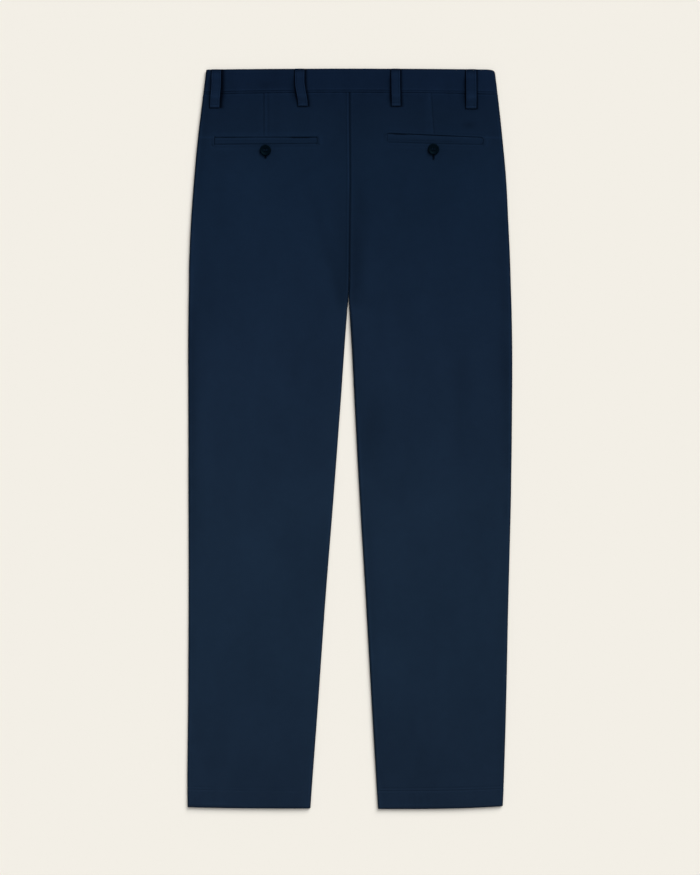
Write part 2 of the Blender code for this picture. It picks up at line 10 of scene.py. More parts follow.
import bpy
import numpy as np
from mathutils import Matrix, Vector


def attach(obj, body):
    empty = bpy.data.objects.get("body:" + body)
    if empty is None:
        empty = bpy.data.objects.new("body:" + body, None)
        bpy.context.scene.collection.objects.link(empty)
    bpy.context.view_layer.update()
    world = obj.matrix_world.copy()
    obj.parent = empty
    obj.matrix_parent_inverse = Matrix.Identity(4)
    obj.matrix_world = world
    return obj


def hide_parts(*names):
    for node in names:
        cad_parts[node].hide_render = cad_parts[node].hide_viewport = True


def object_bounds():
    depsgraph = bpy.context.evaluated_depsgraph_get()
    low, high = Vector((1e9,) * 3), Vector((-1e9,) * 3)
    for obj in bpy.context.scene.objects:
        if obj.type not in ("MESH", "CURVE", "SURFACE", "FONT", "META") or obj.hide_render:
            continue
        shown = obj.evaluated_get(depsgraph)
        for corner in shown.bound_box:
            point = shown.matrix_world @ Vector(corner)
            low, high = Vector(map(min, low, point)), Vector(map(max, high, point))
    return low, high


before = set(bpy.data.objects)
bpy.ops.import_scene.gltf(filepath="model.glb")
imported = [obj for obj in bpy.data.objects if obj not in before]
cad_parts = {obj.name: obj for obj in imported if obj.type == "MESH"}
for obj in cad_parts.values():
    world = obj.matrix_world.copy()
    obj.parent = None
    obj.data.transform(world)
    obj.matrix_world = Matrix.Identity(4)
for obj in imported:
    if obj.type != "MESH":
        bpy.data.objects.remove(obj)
cad_low, cad_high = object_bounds()

MM = 0.001

# ---------------------------------------------------------------- sizes of the laid garment
LENGTH = (cad_high.y - cad_low.y) / MM
BAND_DEPTH = 33.4
HEM_DEPTH = 23.0
WAIST_DIP_TOP = 1.2
WAIST_DIP_SEAM = 2.6
WAIST_HALF = 200.0
WAIST_DIP_GONE = 112.0
FLY_HUMP = 0.6
VALLEY_WIDTH = 13.0
CROWN = 0.5
CROWN_WIDTH = 14.0
BAND_PROUD = 0.4
BAND_CORNER = 5.0      # radius of the band's top corner on the wearer's right
INNER_RISE = 1.8       # the right leg's inner edge is fuller than the left one's
CROTCH_RISE = 1.6      # and by this much more close below the crotch

# Stretches over which something comes or goes: distances down, and last those from a line.
HUMP_ENDS = (30.0, 90.0)
SEAT_SEAM_PULLED = (152.0, 190.0)
SEAT_SEAM_ENDS = (300.0, 330.0)
VALLEY_GROWS = (150.0, 250.0)
VALLEY_NARROWS = (180.0, 300.0)
VALLEY_ENDS = (312.0, 356.0)
LEGS_PART = (330.0, 370.0)
FULLNESS_GROWS = (318.0, 366.0)
CROTCH_RISE_ENDS = (350.0, 480.0)
FULLNESS_ENDS = (960.0, 1030.0)
LINES_SETTLE = (128.0, 240.0)
HUMP_SIDE = (20.0, 56.0)
FULLNESS_SIDE = (12.0, 80.0)

# How dark the painted shade is where cloth turns under: at an open edge, at the right leg's fuller
# inner edge and where a seam holds the edge flat.
RIM_OPEN = 0.95
RIM_FULLER = 0.46
RIM_SEWN = 0.35

# The way along x from a leg's side fold to its inner edge.
INWARDS = {"left": 1, "right": -1}
UPWARDS = (0.0, 0.0, 1.0)
DOWNWARDS = (0.0, 0.0, -1.0)

# Cloth and thread
TWILL_THICK = 0.75
BAND_THICK = 1.4
LOOP_THICK = 1.05
WELT_THICK = 0.55
EDGE_GAP = 0.12        # between the rolled edges of two pieces that a seam joins
THREAD_RADIUS = 0.17
STITCH_PITCH = 3.0
STITCH_LENGTH = 2.3

Section = namedtuple("Section", "down left_side left_inner right_inner right_side stack valley roll")
SECTIONS = (
    Section(0, -202.2, 1.4, 1.4, 207.8, 6.8, 0.0, 0.20),
    Section(44, -207.8, 1.5, 1.5, 213.3, 6.8, 0.2, 0.20),
    Section(101, -214.3, 2.0, 2.0, 219.1, 6.8, 0.4, 0.20),
    Section(158, -219.5, 2.4, 2.4, 224.2, 6.8, 0.6, 0.22),
    Section(215, -223.7, 2.0, 2.0, 227.1, 6.8, 1.0, 0.28),
    Section(272, -226.3, 1.5, 1.5, 229.7, 6.7, 1.3, 0.45),
    Section(308, -226.8, 1.1, 1.1, 230.8, 6.5, 1.2, 0.75),
    Section(323, -227.0, 0.2, 0.4, 231.3, 6.4, 1.1, 0.96),
    Section(343, -227.4, -1.6, 1.2, 231.9, 6.2, 0.9, 1.00),
    Section(399, -227.9, -5.8, 4.8, 232.8, 5.6, 0.7, 1.00),
    Section(470, -227.7, -10.8, 8.4, 232.7, 5.2, 0.5, 1.00),
    Section(612, -227.35, -21.4, 16.0, 230.9, 5.0, 0.5, 1.00),
    Section(754, -227.2, -32.7, 24.6, 227.3, 5.0, 0.5, 1.00),
    Section(896, -227.9, -42.7, 32.6, 224.3, 5.0, 0.5, 1.00),
    Section(1010, -229.0, -51.1, 39.3, 221.0, 5.3, 0.4, 1.00),
    Section(1052, -228.5, -54.1, 42.1, 219.1, 5.8, 0.3, 1.00),
)
CAD_LEFT, CAD_RIGHT = -228.7, 232.4
CENTRE_X = (CAD_LEFT + CAD_RIGHT) / 2

# Soft folds of the back and of the front: ridges above 0 and troughs below it, along a line.
FOLD_END_FADE = 30.0
Fold = namedtuple("Fold", "x_start down_start x_end down_end half_width height")
BACK_FOLDS = (
    Fold(-146, 165, -140, 250, 30, 0.35),
    Fold(-117, 345, -112, 440, 26, 0.45),
    Fold(-212, 300, -214, 640, 15, -0.45),
    Fold(-150, 560, -140, 720, 34, 0.45),
    Fold(-120, 760, -150, 880, 30, -0.35),
    Fold(107, 350, 136, 462, 15, 0.70),
    Fold(159, 440, 156, 540, 13, -0.65),
    Fold(34, 495, 37, 560, 11, -0.80),
    Fold(219, 385, 219, 450, 12, -0.50),
    Fold(120, 640, 150, 740, 32, 0.45),
    Fold(80, 900, 95, 1000, 30, -0.40),
)
FINE_FOLDS = (
    Fold(-62, 255, -18, 300, 6, 0.09),
    Fold(-80, 300, -30, 338, 8, -0.08),
    Fold(22, 292, 70, 262, 6, 0.08),
    Fold(24, 330, 84, 318, 8, -0.10),
    Fold(-190, 140, -150, 168, 6, 0.10),
    Fold(176, 132, 200, 176, 7, -0.10),
    Fold(-165, 500, -90, 548, 9, 0.09),
    Fold(70, 590, 150, 560, 10, -0.09),
    Fold(-70, 640, -120, 700, 9, -0.09),
    Fold(95, 780, 165, 800, 10, 0.09),
)
# Painted light, above 0, and painted shade, below 0, along lines of the back, beyond what its relief
# makes.
PAINTED_LIGHT_AND_SHADE = (
    Fold(-44, 205, -16, 306, 9, -0.11),
    Fold(16, 165, 19, 188, 7, -0.07),
    Fold(136, 244, 140, 268, 8, -0.06),
    Fold(-76, 158, -48, 140, 7, -0.06),
    Fold(-103, 50, -103, 88, 5, -0.06),
    Fold(-52, 60, -38, 66, 10, 0.05),
    Fold(60, 130, 92, 132, 18, 0.04),
    Fold(9, 400, 46, 1000, 7, -0.055),
    Fold(8, 330, 26, 334, 11, -0.06),
    Fold(-7, 300, -8, 318, 5, -0.06),
    Fold(8, 268, 9, 322, 6, -0.04),
    Fold(-203.5, 66, -214.5, 168, 7, -0.10),
    Fold(-219, 262, -219.5, 290, 8, 0.10),
    Fold(-219, 370, -221, 438, 12, -0.07),
    Fold(-224.8, 388, -224.8, 636, 6.5, -0.22),
    Fold(-225.0, 690, -225.6, 860, 6.5, -0.15),
    Fold(-225.4, 985, -224.8, 1035, 3.5, -0.12),
    Fold(-204, 475, -203, 620, 10, 0.10),
    Fold(221, 215, 221.5, 330, 8, -0.13),
    Fold(224.5, 420, 226.5, 612, 8, -0.14),
    Fold(226, 650, 222, 790, 8, -0.07),
    Fold(220.5, 870, 217.5, 985, 6, -0.10),
    Fold(188, 655, 184, 735, 24, -0.06),
    Fold(188, 412, 186, 478, 18, 0.08),
)
FRONT_FOLDS = (
    Fold(-150, 140, -60, 215, 14, -0.35),
    Fold(60, 230, 150, 160, 12, -0.30),
    Fold(-120, 420, -110, 560, 22, -0.40),
    Fold(110, 470, 125, 640, 20, -0.40),
    Fold(-160, 760, -120, 860, 24, -0.35),
    Fold(80, 820, 130, 930, 22, -0.35),
)

# Small dents of the back, which are also painted as shade, and a patch of painted shade on the
# waistband.
Dent = namedtuple("Dent", "x down half_x half_down depth")
DENTS = (
    Dent(171.5, 79.3, 9.5, 4.5, 0.20),
    Dent(26.0, 524.0, 10.0, 34.0, 0.13),
    Dent(214.0, 138.0, 10.0, 26.0, 0.07),
    Dent(53.6, 93.2, 2.8, 1.1, 0.26),
    Dent(190.6, 105.6, 1.7, 3.0, 0.20),
)
BAND_PAINTED_SHADE = Dent(-112.0, 22.0, 24.0, 4.5, 0.11)

# What lifts the front off the surface: the waist button and the two front belt loops under it.
Lift = namedtuple("Lift", "x half_width fade height full_to gone_by")
FRONT_LIFTS = (
    Lift(-8, 11, 56, 2.2, 28, 52),
    Lift(-105, 25, 26, 1.5, 58, 88),
    Lift(105, 25, 26, 1.5, 58, 88),
)
FRONT_LIFT_ALL = 0.25  # the stitches' own thickness keeps the cloth this far off the surface

Hem = namedtuple("Hem", "base side")
HEMS = {"left": Hem(0.8, 1.8), "right": Hem(0.0, 4.0)}
HEM_RISE_FROM = 940.0
HEM_STITCH = 24.0      # above the hem's fold
HEM_FULLNESS = 0.45    # the turned-up hem holds the panel this much higher

# Fly and slanted front pockets
FLY_LAP_X = 4.5
FLY_EDGE_X = {"left": FLY_LAP_X, "right": -3.0}
BAND_END_X = {"left": FLY_LAP_X, "right": -36.0}
FLY_CURVE_START = 186.0
FLY_CURVE_END = 205.0
FLY_SETTLED = 226.0
UNDERLAP_START = 8.0
UNDERLAP_FADE = 18.0
FRONT_ROLL_START = 262.0
FRONT_ROLL_FULL = 330.0
MOUTH_TOP_INSET = 35.0
MOUTH_FOOT_INSET = 4.0
MOUTH_FOOT = 186.0
MOUTH_CLOSED = 205.0
POCKET_UNDERLAP = 12.0
POCKET_DROP = 1.1
POCKET_SETTLE_FROM = 0.6
POCKET_SETTLED = 12.6
PANEL_CLOTH = 1.2      # the solids' wall, whose layers the front pocket's side piece lies under

# Belt loops. A painted shadow on the cloth beside a loop reaches as far from it to its right and to its
# left as the two fields after its width give, and the last field is how much lighter its foot is
# painted.
Loop = namedtuple(
    "Loop", "name x_top x_foot foot width pressed_right pressed_left foot_light", defaults=(0, 0, 0),
)
BACK_LOOPS = (
    Loop("belt_loop_back_side_left", -187.5, -189.9, 53.3, 13.5, 4.7, 1.35, 0.46),
    Loop("belt_loop_back_left", -69.1, -64.6, 52.9, 13.5, 3.4, 1.35, 0.40),
    Loop("belt_loop_back_right", 66.9, 67.5, 52.8, 12.4, 3.1, 1.6, 0.42),
    Loop("belt_loop_back_side_right", 174.0, 174.2, 55.0, 14.8, 2.4, 1.45, 0.54),
)
FRONT_LOOPS = (
    Loop("belt_loop_front_left", -105.0, -105.0, 54.0, 13.5),
    Loop("belt_loop_front_right", 105.0, 105.0, 54.0, 13.5),
)
LOOP_CLEAR = 4.9
LOOP_TACK = 5.0
LOOP_RAMP = 7.0
LOOP_LEAN_FROM = 18.0
LOOP_TURN = 7.0        # length folded under at each end
LOOP_TURN_RADIUS = LOOP_THICK / 2 + 0.05
LOOP_REST = 0.12       # how far the folded-under ends lie above the cloth
FRONT_LOOP_LEVEL = 1.25

# Pocket welts, darts and buttons
Welt = namedtuple("Welt", "name x_start top_start foot_start x_end top_end foot_end gape_from gape_to")
WELTS = {
    "left": Welt("back_pocket_welt_left", -190.1, 97.2, 107.3, -44.9, 97.2, 106.3, -86.0, -51.0),
    "right": Welt("back_pocket_welt_right", 55.2, 91.45, 104.7, 191.0, 97.45, 108.0, 60.0, 86.0),
}
WELT_TOP_ROW = 95.5
WELT_FOOT_ROW = 105.5
Dart = namedtuple("Dart", "x_top x_foot intake towards_centre fold imprint")
# The radius of a pocket window's corners, then how deep the lines round it are, each also painted as
# shade:
# its foot's and the groove there, those sewn below and above, that of its ends and the bars beyond
# them.
PocketLook = namedtuple("PocketLook", "corner foot_line groove sewn_below sewn_above end_line end_bars")
POCKET_LOOKS = {
    "left": PocketLook(0.4, 0.50, 0.42, 0.34, -0.08, 0.50, 0.30),
    "right": PocketLook(2.8, 0.40, 0.20, 0.10, 0.12, 0.17, 0.0),
}
DARTS = {
    "left": Dart(-120.0, -120.0, 6.2, 1, 0.38, 0.16),
    "right": Dart(117.4, 121.8, 7.2, -1, 0.27, 0.14),
}
Button = namedtuple("Button", "name x down radius thickness")
BACK_BUTTONS = {
    "left": Button("back_pocket_button_left", -117.9, 116.1, 8.0, 2.8),
    "right": Button("back_pocket_button_right", 120.7, 114.7, 8.0, 2.8),
}
WAIST_BUTTON = Button("waist_button", -8.0, 17.0, 8.5, 1.9)
Slit = namedtuple("Slit", "x top foot")
BUTTONHOLES = {"left": Slit(-117.9, 108.6, 127.0), "right": Slit(120.7, 110.0, 128.8)}
SLIT_HALF = 0.45


# ---------------------------------------------------------------- curves and noise
def ease(value, start, end):
    """0 before start, 1 after end, with a smooth step between them."""
    share = np.clip((np.asarray(value, float) - start) / (end - start), 0.0, 1.0)
    return share * share * (3.0 - 2.0 * share)


def ease_out(value, start, end):
    """1 before start, 0 after end, with a smooth step between them."""
    return 1 - ease(value, start, end)


def mix(low, high, share):
    """low at share 0 and high at share 1."""
    return low + (high - low) * share


def bump(value, width):
    """1 at 0, falling away smoothly over a width on either side."""
    return np.exp(-((value / width) ** 2))


SECTION_DOWN = np.array([row.down for row in SECTIONS], float)


def section_curve(column):
    """A smooth curve through one column of SECTIONS, as a function of arrays."""
    values = np.array([getattr(row, column) for row in SECTIONS], float)
    last = len(values) - 1
    before = np.maximum(np.arange(last + 1) - 1, 0)
    after = np.minimum(np.arange(last + 1) + 1, last)
    slopes = (values[after] - values[before]) / (SECTION_DOWN[after] - SECTION_DOWN[before])

    def curve(down):
        down = np.clip(down, SECTION_DOWN[0], SECTION_DOWN[-1])
        start = np.clip(np.searchsorted(SECTION_DOWN, down, side="right") - 1, 0, last - 1)
        span = SECTION_DOWN[start + 1] - SECTION_DOWN[start]
        t = (down - SECTION_DOWN[start]) / span
        return (
            values[start] * (1 + 2 * t) * (1 - t) ** 2
            + values[start + 1] * (3 - 2 * t) * t ** 2
            + slopes[start] * span * t * (1 - t) ** 2
            - slopes[start + 1] * span * t ** 2 * (1 - t)
        )

    return curve


CURVES = {column: section_curve(column) for column in Section._fields[1:]}


def along(column, down):
    """What a column of SECTIONS comes to at distances down."""
    return CURVES[column](down)


class Unevenness:
    """Smooth seeded heights between -1 and 1 over the garment."""

    CELLS = 128

    def __init__(self, seed, cell_x, cell_down):
        self.table = np.random.default_rng(seed).uniform(-1, 1, (self.CELLS, self.CELLS))
        self.cell_x = cell_x
        self.cell_down = cell_down

    def at(self, x, down):
        """The height there, eased between the seeded heights round it."""
        u, v = np.asarray(x) / self.cell_x, np.asarray(down) / self.cell_down
        column, row = np.floor(u).astype(int), np.floor(v).astype(int)
        s, t = u - column, v - row
        s, t = s ** 3 * (s * (6 * s - 15) + 10), t ** 3 * (t * (6 * t - 15) + 10)

        def corner(i, j):
            return self.table[(row + j) % self.CELLS, (column + i) % self.CELLS]

        upper = mix(corner(0, 0), corner(1, 0), s)
        lower = mix(corner(0, 1), corner(1, 1), s)
        return mix(upper, lower, t)


SLACK = Unevenness(3, 46.0, 120.0)
RUMPLE = Unevenness(5, 15.0, 34.0)
PUCKER = Unevenness(7, 5.5, 5.5)
HAND = Unevenness(11, 2.1, 2.1)


# ---------------------------------------------------------------- form of the laid garment
def edge_shift(x, down, leg):
    """How much lower than its row a point lies: the waist's dip less the hem's rise."""
    dip_depth = mix(WAIST_DIP_TOP, WAIST_DIP_SEAM, np.minimum(down / BAND_DEPTH, 1.0))
    dip = dip_depth * (x / WAIST_HALF) ** 2 * ease_out(down, BAND_DEPTH, WAIST_DIP_GONE)
    side, inner = along(leg + "_side", down), along(leg + "_inner", down)
    towards_side = np.clip((x - inner) / (side - inner), 0.0, 1.0)
    rise = HEMS[leg].base + HEMS[leg].side * towards_side ** 3
    return dip - rise * ease(down, HEM_RISE_FROM, LENGTH)


def place(x, down, z, leg=None):
    """Positions, still in millimetres, of garment points given as arrays."""
    x, down, z = np.broadcast_arrays(np.asarray(x, float), down, z)
    if leg is None:
        shift = np.where(x < 0, edge_shift(x, down, "left"), edge_shift(x, down, "right"))
    else:
        shift = edge_shift(x, down, leg)
    return np.stack((x - CENTRE_X, LENGTH / 2 - down - shift, z), axis=-1)


def fold_height(folds, x, down):
    """Sum of the heights that folds have at points of the garment."""
    total = 0.0
    for fold in folds:
        run_x, run_down = fold.x_end - fold.x_start, fold.down_end - fold.down_start
        length = math.hypot(run_x, run_down)
        off_x, off_down = x - fold.x_start, down - fold.down_start
        lengthwise = (off_x * run_x + off_down * run_down) / length
        across = (off_x * run_down - off_down * run_x) / length
        beyond = np.maximum(np.maximum(-lengthwise, lengthwise - length), 0.0)
        off_line = (across / fold.half_width) ** 2 + (beyond / FOLD_END_FADE) ** 2
        total = total + fold.height * np.exp(-off_line)
    return total


def inner_fullness(gap, down, leg):
    """Height added beside the right leg's inner edge, at a gap from it."""
    if leg == "left":
        return 0.0
    rise = INNER_RISE + CROTCH_RISE * ease_out(down, *CROTCH_RISE_ENDS)
    rise = rise * ease(down, *FULLNESS_GROWS) * ease_out(down, *FULLNESS_ENDS)
    return rise * ease_out(gap, *FULLNESS_SIDE)


def back_level(x, down, leg):
    """Height of the back panels' outer face, without its fine relief."""
    side_gap = x - along(leg + "_side", down)
    seam_gap = x - along(leg + "_inner", down)
    hump = FLY_HUMP * ease_out(np.abs(x), *HUMP_SIDE) * ease_out(down, *HUMP_ENDS)
    return (
        along("stack", down)
        + hump
        + fold_height(BACK_FOLDS, x, down)
        + inner_fullness(seam_gap, down, leg)
        - along("valley", down) * bump(seam_gap, VALLEY_WIDTH)
        - CROWN * bump(side_gap, CROWN_WIDTH)
    )


def back_level_either(x, down):
    """The back's level on whichever leg x lies."""
    return np.where(x < 0, back_level(x, down, "left"), back_level(x, down, "right"))


def band_back_level(x, down):
    """Height of the waistband's outer face at the back."""
    return back_level_either(x, down) + BAND_PROUD


def front_lift(x, down):
    """How far the front is held off the surface."""
    total = FRONT_LIFT_ALL + 0.0 * x
    for lift in FRONT_LIFTS:
        across = ease_out(np.abs(x - lift.x), lift.half_width, lift.half_width + lift.fade)
        total = total + lift.height * across * ease_out(down, lift.full_to, lift.gone_by)
    return total


def underlap_lift(x, down, cloth):
    """How much higher the right front lies where it passes over the fly's lap."""
    settle_from = FLY_LAP_X + UNDERLAP_START
    sideways = ease_out(x, settle_from, settle_from + UNDERLAP_FADE)
    return (cloth + EDGE_GAP) * sideways * ease_out(down, FLY_CURVE_END, FLY_SETTLED)


def front_level(leg, cloth):
    """The height of the front's outer face, as a function of x and down."""
    def level(x, down):
        under = underlap_lift(x, down, cloth) if leg == "right" else 0.0
        return front_lift(x, down) + under - np.minimum(fold_height(FRONT_FOLDS, x, down), 0.0)

    return level


# ---------------------------------------------------------------- panels between two edges
Column = namedtuple("Column", "zone span share")
LEAST_RADIUS = 0.8


def graded(share, amount=0.85):
    """Spacing that is finer near both ends of a span."""
    return mix(share, (1 - math.cos(math.pi * share)) / 2, amount)


def graded_steps(count, amount):
    """Shares from 0 to 1 in so many graded steps."""
    return np.array([graded(i / count, amount) for i in range(count + 1)])


def columns_for(spans, side_turns, inner_turns):
    """Columns from the side edge to the inner one, with a count for each span between lines."""
    columns = [Column("side", 0, i / side_turns) for i in range(side_turns)]
    for span, count in enumerate(spans):
        columns += [Column("flat", span, graded(i / count)) for i in range(count)]
    columns.append(Column("flat", len(spans) - 1, 1.0))
    columns += [Column("inner", 0, i / inner_turns) for i in range(inner_turns - 1, -1, -1)]
    return columns


def roll(turn, radius, amount):
    """How far in from the edge, and below the flat, an edge lies at turn 0 to 1 of its roll."""
    angle = turn * math.pi / 2
    inward = radius * mix(turn, 1 - math.cos(angle), amount)
    return inward, amount * radius * (1 - math.sin(angle))


PANEL_FIELDS = "side inner side_roll inner_roll level up lines leg"


class Panel(namedtuple("Panel", PANEL_FIELDS, defaults=((), None))):
    """A cut piece between a side edge and an inner edge, either of which may roll over.

    level(x, down) is its outer face's height, up is 1 where that face looks up and -1 where it
    looks down, and lines are the x, by down, that its columns follow between the edges.
    """

    def radius(self, x, down):
        """How wide an edge rolls over, so that it ends at the middle of the stack."""
        middle = along("stack", down) / 2
        return np.maximum(LEAST_RADIUS, self.up * (self.level(x, down) - middle) - EDGE_GAP / 2)

    def point(self, down, column):
        """x and z of one column's points."""
        side, inner = self.side(down), self.inner(down)
        inwards = 1.0 if float(np.mean(inner - side)) > 0 else -1.0
        side_radius, inner_radius = self.radius(side, down), self.radius(inner, down)
        fall = 0.0
        if column.zone == "side":
            inward, fall = roll(column.share, side_radius, self.side_roll(down))
            x = side + inwards * inward
        elif column.zone == "inner":
            inward, fall = roll(column.share, inner_radius, self.inner_roll(down))
            x = inner - inwards * inward
        else:
            stops = [side + inwards * side_radius]
            stops += [line(down) for line in self.lines]
            stops.append(inner - inwards * inner_radius)
            x = mix(stops[column.span], stops[column.span + 1], column.share)
        return x, self.level(x, down) - self.up * fall

    def lay(self, columns, downs):
        """The laid grid: x, down and positions. downs has one row a row and one column a column."""
        x, z = np.empty(downs.shape), np.empty(downs.shape)
        for c, column in enumerate(columns):
            x[:, c], z[:, c] = self.point(downs[:, c], column)
        return x, place(x, downs, z, self.leg)


def grid_normals(positions, up):
    """Unit normals of a grid, on the side that mostly looks up (1) or down (-1)."""
    lengthwise = np.gradient(positions, axis=0)
    across = np.gradient(positions, axis=1)
    normal = np.cross(across, lengthwise)
    normal /= np.maximum(np.linalg.norm(normal, axis=-1, keepdims=True), 1e-9)
    return normal * (1.0 if normal[..., 2].sum() * up > 0 else -1.0)


# ---------------------------------------------------------------- meshes
def metres(positions):
    """Positions in the frame's metres, one row each."""
    return (np.asarray(positions).reshape(-1, 3) * MM).tolist()


def add_object(name, data):
    """A new object in the scene."""
    obj = bpy.data.objects.new(name, data)
    bpy.context.scene.collection.objects.link(obj)
    return obj


def mesh_object(name, points, faces, material, sharp=50.0):
    """A smooth mesh whose edges sharper than an angle in degrees stay sharp."""
    mesh = bpy.data.meshes.new(name)
    mesh.from_pydata(metres(points), [], faces)
    mesh.validate()
    mesh.shade_smooth()
    mesh.set_sharp_from_angle(angle=math.radians(sharp))
    mesh.materials.append(material)
    return add_object(name, mesh)


def grid_faces(index, flipped):
    """Quads of a grid of point numbers."""
    a, b = index[:-1, :-1].ravel(), index[:-1, 1:].ravel()
    c, d = index[1:, 1:].ravel(), index[1:, :-1].ravel()
    order = (a, d, c, b) if flipped else (a, b, c, d)
    return np.stack(order, axis=1)


def tube_faces(rings, count, flipped):
    """Quads round a tube of rings of so many points, and a cap at either end."""
    index = np.arange(rings * count).reshape(rings, count)
    closed = np.concatenate((index, index[:, :1]), axis=1)
    caps = [index[0], index[-1][::-1]] if flipped else [index[0][::-1], index[-1]]
    return grid_faces(closed, flipped).tolist() + [cap.tolist() for cap in caps]


def write_painted_shade(obj, values):
    """Each point's relief value, by which the cloth's material is painted darker (painted shade) or
    lighter (painted light) there.
    """
    attribute = obj.data.attributes.new("relief", "FLOAT", "POINT")
    attribute.data.foreach_set("value", np.asarray(values, np.float32).ravel())


def shell(name, outer, thickness, material, up=1, relief=None):
    """A closed thin wall under a grid, its thickness one number or one for each point; relief holds its
    outer face's painted shade and light.
    """
    normal = grid_normals(outer, up)
    inner = outer - normal * np.broadcast_to(thickness, outer.shape[:2])[..., None]
    rows, columns = outer.shape[:2]
    index = np.arange(rows * columns).reshape(rows, columns)
    under = index + rows * columns
    turned = np.cross(outer[1, 1] - outer[1, 0], outer[1, 0] - outer[0, 0])
    flipped = float(np.dot(turned, normal[0, 0])) < 0
    rim = (
        np.stack((under[0], index[0])),
        np.stack((index[-1], under[-1])),
        np.stack((index[:, 0], under[:, 0])).T,
        np.stack((under[:, -1], index[:, -1])).T,
    )
    faces = np.concatenate(
        [grid_faces(index, flipped), grid_faces(under, not flipped)]
        + [grid_faces(strip, flipped) for strip in rim]
    )
    points = np.concatenate((outer.reshape(-1, 3), inner.reshape(-1, 3)))
    obj = mesh_object(name, points, faces.tolist(), material)
    pressed = np.zeros((2, rows, columns))
    if relief is not None:
        pressed[0] = relief
    write_painted_shade(obj, pressed)
    return obj


def square_to(run, normal):
    """Unit vectors across runs, square to their normals."""
    sideways = np.cross(run, normal)
    return sideways / np.linalg.norm(sideways, axis=1, keepdims=True)


THREAD_SIDES = 5
# Along one stitch: share of its length, share of its rise above the cloth, share of its radius.
THREAD_STATIONS = ((0.0, -0.6, 0.5), (0.22, 0.75, 1.0), (0.78, 0.75, 1.0), (1.0, -0.6, 0.5))


def threads(name, starts, ends, normals, material, radius=THREAD_RADIUS, rise=THREAD_RADIUS):
    """Short lengths of thread, one a stitch, each arched over the cloth."""
    starts, ends, normals = (np.asarray(a, float).reshape(-1, 3) for a in (starts, ends, normals))
    run = ends - starts
    sideways = square_to(run, normals)
    rings = []
    for share, lift, girth in THREAD_STATIONS:
        centre = starts + run * share + normals * (rise * lift)
        for i in range(THREAD_SIDES):
            angle = 2 * math.pi * i / THREAD_SIDES
            reach = radius * girth
            rings.append(centre + reach * (math.cos(angle) * sideways + math.sin(angle) * normals))
    points = np.stack(rings, axis=1)
    faces = tube_faces(len(THREAD_STATIONS), THREAD_SIDES, True)
    made = [
        [stitch * points.shape[1] + corner for corner in face]
        for stitch in range(len(starts))
        for face in faces
    ]
    return mesh_object(name, points, made, material, sharp=80.0)


def tacks(starts, ends, normal=UPWARDS):
    """Single stitches from starts to ends: their starts, ends and normals."""
    return starts, ends, np.tile(normal, (len(starts), 1))


def stitch_line(path, normal=UPWARDS):
    """Starts, ends and normals of the stitches along a path of positions."""
    path = np.asarray(path, float)
    steps = np.linalg.norm(np.diff(path, axis=0), axis=1)
    walked = np.concatenate(([0.0], np.cumsum(steps)))
    count = max(1, int(walked[-1] // STITCH_PITCH))
    begin = (np.arange(count) + 0.5) * walked[-1] / count - STITCH_LENGTH / 2

    def at(distance):
        return np.stack([np.interp(distance, walked, path[:, k]) for k in range(3)], axis=1)

    return tacks(at(begin), at(begin + STITCH_LENGTH), normal)


def sewn(name, lines, material, **how):
    """One piece from several stitch lines."""
    starts, ends, normals = (np.concatenate(part) for part in zip(*lines))
    return threads(name, starts, ends, normals, material, **how)


# ---------------------------------------------------------------- materials
def node_group(name, inputs, outputs):
    """A shader node group with its input and output nodes, from (name, kind, value) of sockets."""
    group = bpy.data.node_groups.new(name, "ShaderNodeTree")
    for label, kind, value in inputs:
        socket = group.interface.new_socket(label, in_out="INPUT", socket_type=kind)
        if value is not None:
            socket.default_value = value
    for label, kind in outputs:
        group.interface.new_socket(label, in_out="OUTPUT", socket_type=kind)
    return group, group.nodes.new("NodeGroupInput"), group.nodes.new("NodeGroupOutput")


def math_node(tree, operation, first, second, clamp=False):
    """The result of an operation on two values, each a socket or a number."""
    node = tree.nodes.new("ShaderNodeMath")
    node.operation = operation
    node.use_clamp = clamp
    for socket, value in zip(node.inputs, (first, second)):
        if isinstance(value, (int, float)):
            socket.default_value = value
        else:
            tree.links.new(value, socket)
    return node.outputs[0]


def scaled(tree, value, factor, offset):
    """value times factor, plus offset."""
    return math_node(tree, "ADD", math_node(tree, "MULTIPLY", value, factor), offset)


def noise_node(tree, coordinates, scale, detail):
    """Soft blotches, as a value round a half."""
    node = tree.nodes.new("ShaderNodeTexNoise")
    node.inputs["Detail"].default_value = detail
    node.inputs["Scale"].default_value = scale
    tree.links.new(coordinates, node.inputs["Vector"])
    return node.outputs["Fac"]


def mix_node(tree, blend, first, second, factor=None):
    """Two colours mixed all the way, or by a factor that a socket gives."""
    node = tree.nodes.new("ShaderNodeMix")
    node.data_type = "RGBA"
    node.blend_type = blend
    node.inputs["Factor"].default_value = 1.0
    if factor is not None:
        tree.links.new(factor, node.inputs["Factor"])
    tree.links.new(first, node.inputs["A"])
    tree.links.new(second, node.inputs["B"])
    return node.outputs["Result"]


def object_coordinates(tree):
    return tree.nodes.new("ShaderNodeTexCoord").outputs["Object"]


def bump_node(tree, height, distance, strength=1.0):
    """A normal tilted by a height, whose full height is a distance in metres."""
    node = tree.nodes.new("ShaderNodeBump")
    node.inputs["Distance"].default_value = distance
    node.inputs["Strength"].default_value = strength
    tree.links.new(height, node.inputs["Height"])
    return node.outputs["Normal"]


